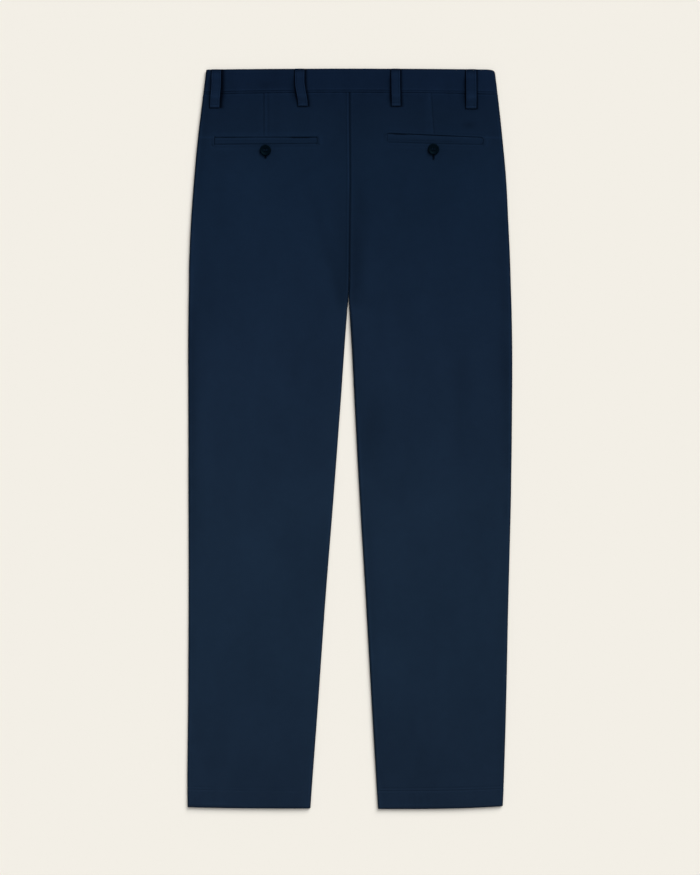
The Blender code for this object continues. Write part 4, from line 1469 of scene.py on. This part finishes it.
def make_pocket_piece(leg):
    """The cloth behind the slanted mouth, from under the front round to the side fold."""
    inwards = INWARDS[leg]
    mouth = pocket_mouth(leg)

    def level(x, down):
        outside_mouth = inwards * (mouth(down) - x)
        drop = POCKET_DROP * ease(outside_mouth, POCKET_SETTLE_FROM, POCKET_SETTLED)
        return front_lift(x, down) + PANEL_CLOTH + EDGE_GAP - drop

    piece = Panel(
        side=edge(leg, "side"),
        inner=lambda down: mouth(down) + inwards * POCKET_UNDERLAP,
        side_roll=full,
        inner_roll=flat,
        level=level,
        up=-1,
        leg=leg,
    )
    columns = columns_for((16,), 6, 1)
    downs = straight_rows(row_plan(PANEL_TOP, (MOUTH_FOOT - 0.3, 50, False)), columns)
    x, positions = piece.lay(columns, downs)
    soft = 0.08 * RUMPLE.at(x + 300, downs) * edge_fade(columns)
    outer = positions + grid_normals(positions, -1) * soft[..., None]
    return shell(f"front_pocket_piece_{leg}_cloth", outer, TWILL_THICK, TWILL, up=-1)


# ---------------------------------------------------------------- waistband
BAND_ROW_PLAN = row_plan(0.0, (1.6, 5, False), (27.6, 16, False), (BAND_DEPTH, 13, False))
BAND_STITCH = 30.9


def band_rounding(down):
    """Share of the band's wall kept near its folded top edge and its lower edge."""
    top = 0.35 + 0.65 * np.sqrt(np.clip(down / 1.3, 0, 1))
    foot = 0.60 + 0.40 * np.sqrt(np.clip((BAND_DEPTH - down) / 0.9, 0, 1))
    return np.minimum(top, foot)


def band_relief(x, down):
    """The band's stitched line and the cloth it draws, which are also painted as shade and light."""
    drawn = 0.75 + 0.45 * SLACK.at(x * 1.9, 17.0)
    stitched = -0.34 * bump(down - BAND_STITCH, 0.7) * drawn
    proud = 0.24 * bump(down - BAND_STITCH + 1.7, 0.8) + 0.14 * bump(down - BAND_STITCH - 1.3, 0.5)
    pull = 0.13 * PUCKER.at(x, down * 0.3) * bump(down - BAND_STITCH, 7.0)
    return stitched + proud + pull


def band_softness(x, down):
    """The band's broad unevenness."""
    return 0.16 * SLACK.at(x, down) + 0.07 * RUMPLE.at(x * 0.8, down * 1.3)


def make_band(name, panel, columns):
    """A stretch of waistband with its relief and its painted shade and light."""
    downs = straight_rows(BAND_ROW_PLAN, columns)
    x, positions = panel.lay(columns, downs)
    fade = edge_fade(columns)
    kept = band_rounding(downs)
    pressed = band_relief(x, downs) * fade
    soft = band_softness(x, downs) * fade
    if panel.up < 0:
        soft = soft - 0.2 * fade
    offset = pressed + soft - BAND_THICK * (1 - kept) / 2
    outer = positions + grid_normals(positions, panel.up) * offset[..., None]
    # The relief painted as shade and light, with painted shade at the turned-under edges and along the
    # band's top and lower edges, a little painted light over all and random tone.
    painted_shading = (
        pressed
        + rim_painted_shade(panel, columns, downs)
        - 0.1 * bump(BAND_DEPTH - downs, 0.5)
        - 0.2 * bump(downs, 0.8)
        + 0.06
        + 0.07 * SLACK.at(x * 1.6, downs * 3.0 + 200)
        + 0.05 * RUMPLE.at(x, downs)
    )
    if panel.up > 0:
        # Painted lighter towards the wearer's right, with a patch of painted shade and the painted
        # shadow beside the belt loops.
        lighter = 0.075 * ease(x, 0, 20) + 0.06 * ease(x, 100, 125) + 0.08 * ease(x, 172, 195)
        painted_shading = painted_shading + lighter - dented(BAND_PAINTED_SHADE, x, downs) + loop_painted_shadow(x, downs)
    return shell(name, outer, BAND_THICK * kept, BAND, up=panel.up, relief=painted_shading)


def band_side(leg):
    """The band's side fold, whose top corner is rounded on the wearer's right."""
    def side(down):
        cornered = BAND_CORNER * (1 - np.sqrt(1 - np.clip(1 - down / BAND_CORNER, 0, 1) ** 2))
        return along(leg + "_side", down) - (cornered if leg == "right" else 0.0)

    return side


def make_waistband():
    """The back stretch and both front ones, by node."""
    back = Panel(
        side=edge("left", "side"),
        inner=band_side("right"),
        side_roll=full,
        inner_roll=full,
        level=band_back_level,
        up=1,
        lines=tuple(loop_edge(loop, side) for loop in BACK_LOOPS for side in (-1, 1)),
    )
    columns = columns_for((7, 8, 28, 8, 28, 8, 26, 8, 9), 6, 6)
    pieces = {"waistband_back": make_band("waistband_back_cloth", back, columns)}
    for leg, end_x in BAND_END_X.items():
        front = Panel(
            side=band_side(leg),
            inner=constant(end_x),
            side_roll=full,
            inner_roll=flat,
            level=front_level(leg, BAND_THICK),
            up=-1,
            leg=leg,
        )
        name = f"waistband_front_{leg}"
        pieces[name] = make_band(name + "_cloth", front, columns_for((60,), 6, 2))
    return pieces


# ---------------------------------------------------------------- belt loops
# Cross-section of a folded strip: share of half its width, share of its thickness.
LOOP_SECTION = (
    (-1.00, 0.50), (-0.975, 0.80), (-0.92, 0.97), (-0.80, 1.02), (-0.70, 0.90), (-0.58, 1.00),
    (-0.30, 1.03), (0.0, 1.04), (0.30, 1.03), (0.58, 1.00), (0.70, 0.90), (0.80, 1.02),
    (0.92, 0.97), (0.975, 0.80), (1.00, 0.50), (0.975, 0.18), (0.90, 0.02), (0.50, 0.0),
    (0.0, 0.0), (-0.50, 0.0), (-0.90, 0.02), (-0.975, 0.18),
)


def strap(name, middle, normal, width, material, lightness=0.0):
    """A folded strip along a path of positions, with its normals, the widths it has there and how much
    it is painted lighter (above 0) or darker (below 0) along it.
    """
    rows = len(middle)
    sideways = square_to(np.gradient(middle, axis=0), normal)
    across, above = np.array(LOOP_SECTION).T
    half = np.broadcast_to(np.asarray(width) / 2, (rows,))
    points = (
        middle[:, None]
        + sideways[:, None] * (half[:, None] * across[None])[..., None]
        + normal[:, None] * (LOOP_THICK * above)[None, :, None]
    )
    obj = mesh_object(name, points, tube_faces(rows, len(LOOP_SECTION), False), material)
    off = np.abs(across)
    # Painted shade along the strip's edges, with a painted light line and a painted shade line just
    # inside them.
    painted_shading = np.select((off > 0.96, off > 0.75, off > 0.65), (-0.45, 0.32, -0.34), 0.03)
    write_painted_shade(obj, painted_shading[None, :] + np.broadcast_to(lightness, (rows,))[:, None])
    return obj


def path_normals(path):
    """Normals in the lengthwise vertical plane of a path that runs down the garment."""
    run = np.gradient(path, axis=0)
    run /= np.linalg.norm(run, axis=1, keepdims=True)
    normal = np.cross(np.array([1.0, 0.0, 0.0]), run)
    return -normal / np.linalg.norm(normal, axis=1, keepdims=True)


def loop_middle_x(loop, down):
    """A loop's middle line, which leans a little from its top to its foot."""
    return mix(loop.x_top, loop.x_foot, ease(down, LOOP_LEAN_FROM, loop.foot))


def loop_path(loop):
    """Under face of a back loop, sewn down at both ends and bridging the waistband between."""
    downs = np.linspace(1.6, loop.foot - 1.2, 46)
    x = loop_middle_x(loop, downs)
    on_band = ease_out(downs, BAND_DEPTH, BAND_DEPTH + 3.0)
    ground = back_level_either(x, downs) + BAND_PROUD * on_band + LOOP_REST
    rise = ease(downs, LOOP_TACK - 2.5, LOOP_TACK + LOOP_RAMP + 3.0)
    fall = ease_out(downs, loop.foot - LOOP_TACK - LOOP_RAMP - 4.0, loop.foot - LOOP_TACK + 3.0)
    bridge = (LOOP_CLEAR - 2 * LOOP_TURN_RADIUS) * rise * fall
    return place(x, downs, ground + 2 * LOOP_TURN_RADIUS + bridge)


def end_turn(end, outward):
    """The half turn from a strip's end, and the layer folded back under it: points and normals."""
    up, out = np.array(UPWARDS), np.array([0.0, outward, 0.0])
    points, normals = [], []
    for step in range(1, 6):
        angle = math.radians(36 * step)
        below = up * LOOP_TURN_RADIUS * (1 - math.cos(angle))
        points.append(end - below + out * LOOP_TURN_RADIUS * math.sin(angle))
        normals.append(up * math.cos(angle) + out * math.sin(angle))
    for distance in np.linspace(0.5, LOOP_TURN, 6):
        points.append(end - np.array([0, outward * distance, 2 * LOOP_TURN_RADIUS]))
        normals.append(DOWNWARDS)
    return points, normals


def make_back_loop(loop):
    """The bridging strip, with a layer folded under it at each end."""
    path = loop_path(loop)
    foot_points, foot_normals = end_turn(path[-1], -1.0)
    top_points, top_normals = end_turn(path[0], 1.0)
    middle = np.concatenate((top_points[::-1], path, foot_points))
    normal = np.concatenate((top_normals[::-1], path_normals(path), foot_normals))
    width = loop.width * (1 + 0.015 * HAND.at(middle[:, 1] * 0.6, loop.x_top))
    from_top = LENGTH / 2 - middle[:, 1]
    # Painted light towards the loop's foot, and painted shade near its top end.
    lightness = (
        loop.foot_light * ease(from_top, 30.0, 42.0)
        - 0.38 * np.exp(-np.maximum(from_top, 0.0) / 6.5)
        - 0.25 * bump(from_top - 1.2, 1.3)
    )
    return strap(loop.name + "_cloth", middle, normal, width, TRIM_PAINTED_LIGHTER, lightness)


def make_front_loop(loop):
    """A strip pressed flat under the waistband."""
    downs = np.linspace(1.0, loop.foot, 40)
    middle = place(loop_middle_x(loop, downs), downs, FRONT_LOOP_LEVEL)
    normal = np.tile(DOWNWARDS, (len(downs), 1))
    return strap(loop.name + "_cloth", middle, normal, loop.width, TRIM_PAINTED_LIGHTER)


def loop_stitches(loop):
    """Two rows along a back loop and a bar tack at each end."""
    path = loop_path(loop)
    normal = path_normals(path)
    run = np.gradient(path, axis=0)
    sideways = square_to(run, normal)
    top = path + normal * LOOP_THICK * 0.93
    lines = [
        stitch_line_on(top + sideways * side * (loop.width * 0.35), normal) for side in (-1, 1)
    ]
    bars = 15
    lean = np.where(np.arange(bars) % 2 == 0, 0.18, -0.18)[:, None]
    for at in (2, -4):
        along_run = run[at] / np.linalg.norm(run[at])
        shares = np.linspace(-0.42, 0.42, bars)
        centres = top[at] + sideways[at] * (loop.width * shares)[:, None]
        reach = along_run + lean * sideways[at]
        lines.append(tacks(centres - reach, centres + reach, normal[at]))
    return lines


def stitch_line_on(path, normal):
    """A stitch line whose normals follow the path's own."""
    starts, ends, _ = stitch_line(path)
    middle = (starts + ends) / 2
    nearest = np.argmin(np.linalg.norm(middle[:, None] - path[None], axis=2), axis=1)
    return starts, ends, normal[nearest]


# ---------------------------------------------------------------- pocket welts
def make_welt(leg):
    """The folded strip that fills the pocket's window, its top edge the pocket's mouth."""
    welt = WELTS[leg]
    share, v = graded_steps(96, 0.9)[None, :], graded_steps(14, 0.7)[:, None]
    rounding = 3.2 * np.abs(2 * v - 1) ** 3 if leg == "right" else 0.5 * np.abs(2 * v - 1) ** 4
    x = mix(welt.x_start + 0.2, welt.x_end - 0.2 - rounding, share)
    top, foot = welt_line(leg, x, "top") + 0.15, welt_line(leg, x, "foot") - 0.1
    gape = ease(x, welt.gape_from, welt.gape_from + 8) * ease_out(x, welt.gape_to - 8, welt.gape_to)
    down = mix(top + 0.55 * gape, foot, v)
    from_end = np.minimum(x - welt.x_start, welt.x_end - rounding - x)
    pillow = 0.28 * (1 - np.abs(2 * v - 1) ** 5) + 0.10 * bump(v - 0.16, 0.12)
    if leg == "right":
        seam = -0.18 * bump(v - 0.715, 0.05) * mix(0.5, 1.0, ease(x, 75, 95))
        seam = seam * (1 - 0.9 * ease(x, 148, 162))
    else:
        seam = -0.06 * bump(v - 0.45, 0.09)
    dive = -0.85 * bump(v, 0.05) - 0.35 * bump(1 - v, 0.05) - 0.35 * bump(from_end / 9.0, 0.05)
    level = back_level(x, down, leg) + back_softness(x, down, leg)
    z = level - 0.30 + pillow + seam + np.maximum(dive, -0.9) + 0.05 * RUMPLE.at(x * 2, down * 2)
    outer = place(x, down, z, leg)
    # Painted shadow along the pocket's mouth, deeper where it gapes; the welt's dives and seam are
    # painted darker, and a painted light band lies just below its top edge.
    shadow = (0.45 + 0.75 * gape if leg == "left" else 0.26 + 0.30 * gape) - mouth_shadow_lessened(leg, x)
    mouth = -(shadow + 0.25 * SLACK.at(x * 2.0, 5.0)) * bump(v, 0.10)
    painted_shading = np.maximum(dive, -0.5) * 0.2 + seam * 1.6 + mouth + 0.24 * bump(v - 0.26, 0.11)
    return shell(welt.name + "_cloth", outer, WELT_THICK, TWILL, relief=painted_shading)


# ---------------------------------------------------------------- buttons
# Turned outline from the centre of the face round to the back: share of radius, of thickness.
BUTTON_OUTLINE = (
    (0.10, 0.70), (0.28, 0.71), (0.46, 0.73), (0.58, 0.77), (0.66, 0.85), (0.74, 0.94), (0.84, 1.00),
    (0.92, 0.97), (0.975, 0.84), (1.00, 0.62), (0.99, 0.42), (0.95, 0.22), (0.88, 0.08), (0.76, 0.0),
    (0.40, 0.0), (0.10, 0.0),
)
BUTTON_SIDES = 64
HOLE_RADIUS = 0.95
HOLE_OFFSET = 1.75
HOLE_OUTLINE = ((1.0, 1.0), (1.0, 0.0))
HOLE_LENGTH = 9.0
HOLE_BELOW = 3.0       # how far a hole's drill starts below the button
STRAND_PITCH = 0.36


def turned(name, outline, radius, thickness, centre, up, material):
    """A closed turned solid about a vertical axis."""
    angles = np.arange(BUTTON_SIDES) * 2 * math.pi / BUTTON_SIDES
    rings = []
    for share, height in outline:
        level = np.full(BUTTON_SIDES, up * thickness * height)
        ring = (radius * share * np.cos(angles), radius * share * np.sin(angles), level)
        rings.append(np.stack(ring, axis=1) + centre)
    faces = tube_faces(len(outline), BUTTON_SIDES, True)
    if up < 0:
        faces = [face[::-1] for face in faces]
    return mesh_object(name, np.concatenate(rings), faces, material, sharp=60.0)


def make_button(shape, base, up):
    """A four-hole button with its sewing thread."""
    centre = place(shape.x, shape.down, base)
    size = (shape.radius, shape.thickness)
    button = turned(shape.name + "_horn", BUTTON_OUTLINE, *size, centre, up, HORN)
    for i, (dx, dy) in enumerate(((1, 1), (1, -1), (-1, 1), (-1, -1))):
        hole_centre = centre + np.array([dx * HOLE_OFFSET, dy * HOLE_OFFSET, -HOLE_BELOW * up])
        drill = turned("drill", HOLE_OUTLINE, HOLE_RADIUS, HOLE_LENGTH, hole_centre, up, HORN)
        cut = button.modifiers.new(f"hole_{i}", "BOOLEAN")
        cut.operation = "DIFFERENCE"
        cut.solver = "EXACT"
        cut.object = drill
        bake_modifiers(button)
        bpy.data.objects.remove(drill, do_unlink=True)
    button.data.shade_smooth()
    button.data.set_sharp_from_angle(angle=math.radians(50))
    face = up * shape.thickness * BUTTON_OUTLINE[0][1]
    starts, ends = [], []
    for dx in (-1, 1):
        for strand in (-1, 0, 1):
            x = dx * HOLE_OFFSET + strand * STRAND_PITCH
            starts.append(centre + np.array([x, -HOLE_OFFSET - 0.1, face]))
            ends.append(centre + np.array([x + strand * 0.1, HOLE_OFFSET + 0.1, face]))
    strands = tacks(starts, ends, np.multiply(UPWARDS, up))
    sewing = threads(shape.name + "_thread", *strands, BUTTON_THREAD, radius=0.24, rise=0.42)
    return button, sewing


def bake_modifiers(obj):
    """Gives a piece the mesh that its modifiers make of it."""
    graph = bpy.context.evaluated_depsgraph_get()
    mesh = bpy.data.meshes.new_from_object(obj.evaluated_get(graph))
    obj.modifiers.clear()
    obj.data = mesh


# ---------------------------------------------------------------- stitching
def back_line(leg, x, down, lift=0.05):
    """Positions just above the finished back, for what is sewn to it."""
    x, down = np.asarray(x, float), np.asarray(down, float)
    z = back_level(x, down, leg) + back_relief(x, down, leg) + back_softness(x, down, leg)
    return place(x, down, z + lift, leg)


def front_face(leg, x, down):
    """Height of the front panels' finished outer face."""
    return front_level(leg, TWILL_THICK)(x, down) - front_softness(x, down)


def front_line(leg, x, down):
    """Stitches along a line on the face that the front lays down."""
    return stitch_line(place(x, down, front_face(leg, x, down) + 0.10, leg), DOWNWARDS)


def waistband_stitching():
    """The line sewn along the band's foot, on the back and on both fronts."""
    left, right = along("left_side", BAND_STITCH), along("right_side", BAND_STITCH)
    x = np.arange(left + 3.5, right - 3.5, 1.5)
    relief = band_relief(x, BAND_STITCH) + band_softness(x, BAND_STITCH)
    back = place(x, BAND_STITCH, band_back_level(x, BAND_STITCH) + relief + 0.04)
    lines = [stitch_line(back)]
    for leg, end_x in BAND_END_X.items():
        side_x = along(leg + "_side", BAND_STITCH) + INWARDS[leg] * 4.5
        x = np.linspace(side_x, end_x, 120)
        z = front_level(leg, BAND_THICK)(x, BAND_STITCH) + 0.30
        lines.append(stitch_line(place(x, BAND_STITCH, z, leg), DOWNWARDS))
    return sewn("waistband_stitching", lines, THREAD)


def hem_stitching(leg):
    """The line sewn round the hem, on the back and on the front."""
    down = LENGTH - HEM_STITCH
    inset = INWARDS[leg] * 3.2
    x = np.linspace(along(leg + "_side", down) + inset, along(leg + "_inner", down) - inset, 150)
    lines = [stitch_line(back_line(leg, x, down)), front_line(leg, x, down)]
    return sewn(f"hem_stitching_{leg}", lines, THREAD)


def welt_stitching(leg):
    """The bar tacks at the window's two ends."""
    welt = WELTS[leg]
    lines = []
    for end_x, outwards in ((welt.x_start, -1), (welt.x_end, 1)):
        top, foot = welt_line(leg, end_x, "top") + 0.6, welt_line(leg, end_x, "foot") - 0.6
        x = np.array([end_x + outwards * 0.3, end_x + outwards * 2.4])
        for bar in range(9):
            down = mix(top, foot, bar / 8)
            ends = back_line(leg, x, [down, down + (0.35 if bar % 2 else -0.1)])
            lines.append(tacks(ends[:1], ends[1:]))
    return sewn(f"back_pocket_tacks_{leg}", lines, THREAD, radius=0.14)


def buttonhole(leg):
    """Close-set bars down both sides of the slit, and a tack across its foot."""
    slit = BUTTONHOLES[leg]
    lines = []
    downs = np.arange(slit.top, slit.foot, 0.5)
    for side in (-1, 1):
        near = back_line(leg, slit.x + side * SLIT_HALF, downs, lift=0.35)
        far = back_line(leg, slit.x + side * (SLIT_HALF + 1.15), downs)
        lines.append(tacks(near, far))
    x = slit.x + np.arange(-1.3, 1.31, 0.4)
    low = back_line(leg, x, slit.foot - 0.2, lift=0.1)
    high = back_line(leg, x, slit.foot + 1.2, lift=0.1)
    lines.append(tacks(low, high))
    return sewn(f"back_pocket_buttonhole_{leg}", lines, DARK_THREAD, radius=0.19)


def front_stitching():
    """The fly's J, the slanted mouths' edges and their bar tacks, on the side that lies down."""
    downs = np.linspace(PANEL_TOP + 1, 199.5, 240)
    lines = [front_line("left", fly_stitch_x(downs), downs)]
    for leg, inwards in INWARDS.items():
        mouth = pocket_mouth(leg)
        downs = np.linspace(PANEL_TOP + 1, MOUTH_FOOT - 2, 160)
        lines += [front_line(leg, mouth(downs) + inwards * inset, downs) for inset in (1.6, 6.0)]
        for down in (44.0, MOUTH_FOOT - 4.0):
            bars = down + np.arange(0, 8.0, 0.7)
            near = mouth(bars) + inwards * 0.4
            far = near + inwards * 5.2
            z = front_face(leg, near, bars) + 0.06
            starts, ends = place(near, bars, z, leg), place(far, bars + 0.3, z, leg)
            lines.append(tacks(starts, ends, DOWNWARDS))
    return sewn("front_stitching", lines, THREAD)


# ---------------------------------------------------------------- fly zip
ZIP_X = -8.0
ZIP_TOP = 52.0
ZIP_FOOT = 190.0
ZIP_HALF = 14.0
ZIP_LEVEL = 3.3
TAPE_THICK = 0.8
TAPE_CLOTH = 0.5
TOOTH_PITCH = 2.0
TOOTH_HALF = (1.5, 0.36, 0.22)
SLIDER_X = -11.0
SLIDER_TOP = 56.0
BOX_CORNERS = np.array([(x, y, z) for z in (-1, 1) for y in (-1, 1) for x in (-1, 1)], float)
BOX_FACES = ((0, 2, 3, 1), (4, 5, 7, 6), (0, 1, 5, 4), (2, 6, 7, 3), (0, 4, 6, 2), (1, 3, 7, 5))


def make_zip_tape():
    """The tape, with a cord along either side of the teeth, and the teeth themselves."""
    downs = np.linspace(ZIP_TOP, ZIP_FOOT, 70)[:, None]
    sides = (np.linspace(-1, -0.16, 8), np.linspace(-0.08, 0.08, 3), np.linspace(0.16, 1, 8))
    x = ZIP_X + ZIP_HALF * np.concatenate(sides) + 0.0 * downs
    cord = 0.22 * bump(np.abs(x - ZIP_X) - 2.3, 0.9)
    outer = place(x, downs, ZIP_LEVEL + TAPE_THICK - 0.25 + cord, "left")
    tape = shell("zip_tape_cloth", outer, TAPE_CLOTH, TAPE)
    corners, faces = [], []
    for tooth, down in enumerate(np.arange(SLIDER_TOP + 10.0, ZIP_FOOT - 3, TOOTH_PITCH / 2)):
        side = 1 if tooth % 2 else -1
        centre = place(ZIP_X + side * 0.9, down, ZIP_LEVEL + 0.25, "left")
        corners.append(centre + BOX_CORNERS * TOOTH_HALF)
        faces += [tuple(8 * tooth + corner for corner in face) for face in BOX_FACES]
    teeth = mesh_object("zip_teeth", np.concatenate(corners), faces, BRASS, sharp=30.0)
    soften(teeth, 0.08)
    return tape, teeth


def soften(obj, width):
    """Rounds a solid's sharp edges."""
    bevel = obj.modifiers.new("soft_edges", "BEVEL")
    bevel.width = width * MM
    bevel.segments = 2
    bevel.limit_method = "ANGLE"
    bake_modifiers(obj)


# The slider and its pull tab: distance down from its top, half width, thickness.
SLIDER_OUTLINE = (
    (0.0, 3.2, 0.9), (1.0, 4.0, 1.4), (4.0, 3.9, 1.4), (8.0, 3.0, 1.4), (10.0, 2.6, 1.2),
    (11.0, 1.2, 0.8), (12.0, 1.2, 0.8), (13.5, 2.2, 0.8), (24.0, 2.2, 0.8), (27.0, 1.9, 0.8),
    (28.0, 1.1, 0.7),
)


def make_zip_slider():
    """The closed slider, its tab flat under the fly's lap."""
    down, half, thick = np.array(SLIDER_OUTLINE).T[..., None]
    across = np.linspace(-1, 1, 9)
    dome = thick * (1 - 0.25 * np.abs(across) ** 4)
    outer = place(SLIDER_X + half * across, SLIDER_TOP + down, ZIP_LEVEL - 0.3 - dome, "left")
    slider = shell("zip_slider_metal", outer, dome * 0.98, BRASS, up=-1)
    soften(slider, 0.15)
    return slider


# ---------------------------------------------------------------- stage, light and camera
FLOOR_COLOUR = (0.896, 0.863, 0.791)
FLOOR_HALF = 30.0
FLOOR_LEVEL = -0.0002
PULP_SHADES = ((0.0, 0.994), (1.0, 1.006))
CAMERA_LENS = 85.0
FRAME_HEIGHT = 1.2425   # metres of the garment that the long side of the view takes in
CAMERA_CENTRE = (0.0003, 0.0021)
FRAME_LEVEL = 0.006     # the height above the floor at which it takes them in


def make_camera():
    """Straight above the garment."""
    camera = bpy.data.cameras.new("camera")
    camera.lens = CAMERA_LENS
    camera.sensor_width = 36.0
    height = FRAME_HEIGHT * CAMERA_LENS / camera.sensor_width + FRAME_LEVEL
    obj = add_object("camera", camera)
    obj.location = (*CAMERA_CENTRE, height)
    bpy.context.scene.camera = obj


def make_floor():
    """A wide sheet of paper, its pulp a little uneven."""
    corners = ((-1, -1), (1, -1), (1, 1), (-1, 1))
    points = [(x * FLOOR_HALF, y * FLOOR_HALF, FLOOR_LEVEL) for x, y in corners]
    mesh = bpy.data.meshes.new("floor")
    mesh.from_pydata(points, [], [(0, 1, 2, 3)])
    material, tree, shader = plain_material("cream_paper", FLOOR_COLOUR, 0.95)
    shader.inputs["Specular IOR Level"].default_value = 0.0
    pulp = noise_node(tree, object_coordinates(tree), 400.0, detail=3.0)
    shades = [(at, tuple(part * shade for part in FLOOR_COLOUR)) for at, shade in PULP_SHADES]
    tree.links.new(ramp_node(tree, pulp, shades), shader.inputs["Base Color"])
    mesh.materials.append(material)
    add_object("floor", mesh)


# Shares of the floor's light; the window gives the rest.
SKY_SHARE = 0.14
OVERHEAD_SHARE = 0.32
WINDOW_LEAN = math.radians(48)
WINDOW_TURN = math.radians(-31)


def make_sun(name, share, width, lean, turn):
    """A soft light that gives a share of the floor's light from a disc some degrees wide."""
    sun = bpy.data.lights.new(name, "SUN")
    sun.energy = share * math.pi / math.cos(lean)
    sun.angle = math.radians(width)
    add_object(name, sun).rotation_euler = (-lean, 0.0, turn)


def make_light():
    """An even studio: a white sky, a broad light overhead and a window at the side."""
    world = bpy.data.worlds.new("studio")
    world.use_nodes = True
    background = world.node_tree.nodes["Background"]
    background.inputs["Color"].default_value = (1.0, 1.0, 1.0, 1.0)
    background.inputs["Strength"].default_value = SKY_SHARE
    bpy.context.scene.world = world
    make_sun("overhead_light", OVERHEAD_SHARE, 80, 0.0, 0.0)
    make_sun("window_light", 1 - SKY_SHARE - OVERHEAD_SHARE, 42, WINDOW_LEAN, WINDOW_TURN)


make_camera()
make_floor()
make_light()
bpy.context.scene.view_settings.view_transform = "Standard"


# ---------------------------------------------------------------- the garment
# Flat sizes of the cut cloth that shows, in metres and square metres.
Cut = namedtuple("Cut", "width length area")


def finish_piece(piece, nodes=()):
    """Attaches a piece to the garment's root body and hides the solids that it stands for."""
    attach(piece, "root")
    if nodes:
        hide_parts(*nodes)
    return piece


def dress():
    """Every piece of the garment."""
    stitching = [waistband_stitching(), front_stitching()]
    for leg in ("left", "right"):
        back, front = make_back_panel(leg), make_front_panel(leg)
        finish_piece(back, (f"back_panel_{leg}", f"hem_turn_back_{leg}"))
        finish_piece(front, (f"front_panel_{leg}", f"hem_turn_front_{leg}"))
        pocket = finish_piece(make_pocket_piece(leg), [f"front_pocket_piece_{leg}"])
        welt = finish_piece(make_welt(leg), [WELTS[leg].name])
        shape = BACK_BUTTONS[leg]
        base = float(back_level(shape.x, shape.down, leg)) + 0.2
        button, sewing = make_button(shape, base, 1)
        finish_piece(button, [shape.name])
        stitching += [sewing, hem_stitching(leg), welt_stitching(leg), buttonhole(leg)]
    for node, piece in make_waistband().items():
        finish_piece(piece, [node])
    loop_lines = []
    for loop in BACK_LOOPS:
        piece = finish_piece(make_back_loop(loop), [loop.name])
        loop_lines += loop_stitches(loop)
    for loop in FRONT_LOOPS:
        piece = finish_piece(make_front_loop(loop), [loop.name])
    stitching.append(sewn("belt_loop_stitching", loop_lines, THREAD, radius=0.15))
    button, sewing = make_button(WAIST_BUTTON, WAIST_BUTTON.thickness + 0.15, -1)
    finish_piece(button, [WAIST_BUTTON.name])
    stitching.append(sewing)
    tape, teeth = make_zip_tape()
    finish_piece(tape, ["zip_tape"])
    finish_piece(teeth)
    finish_piece(make_zip_slider(), ["zip_slider"])
    for piece in stitching:
        finish_piece(piece)


dress()
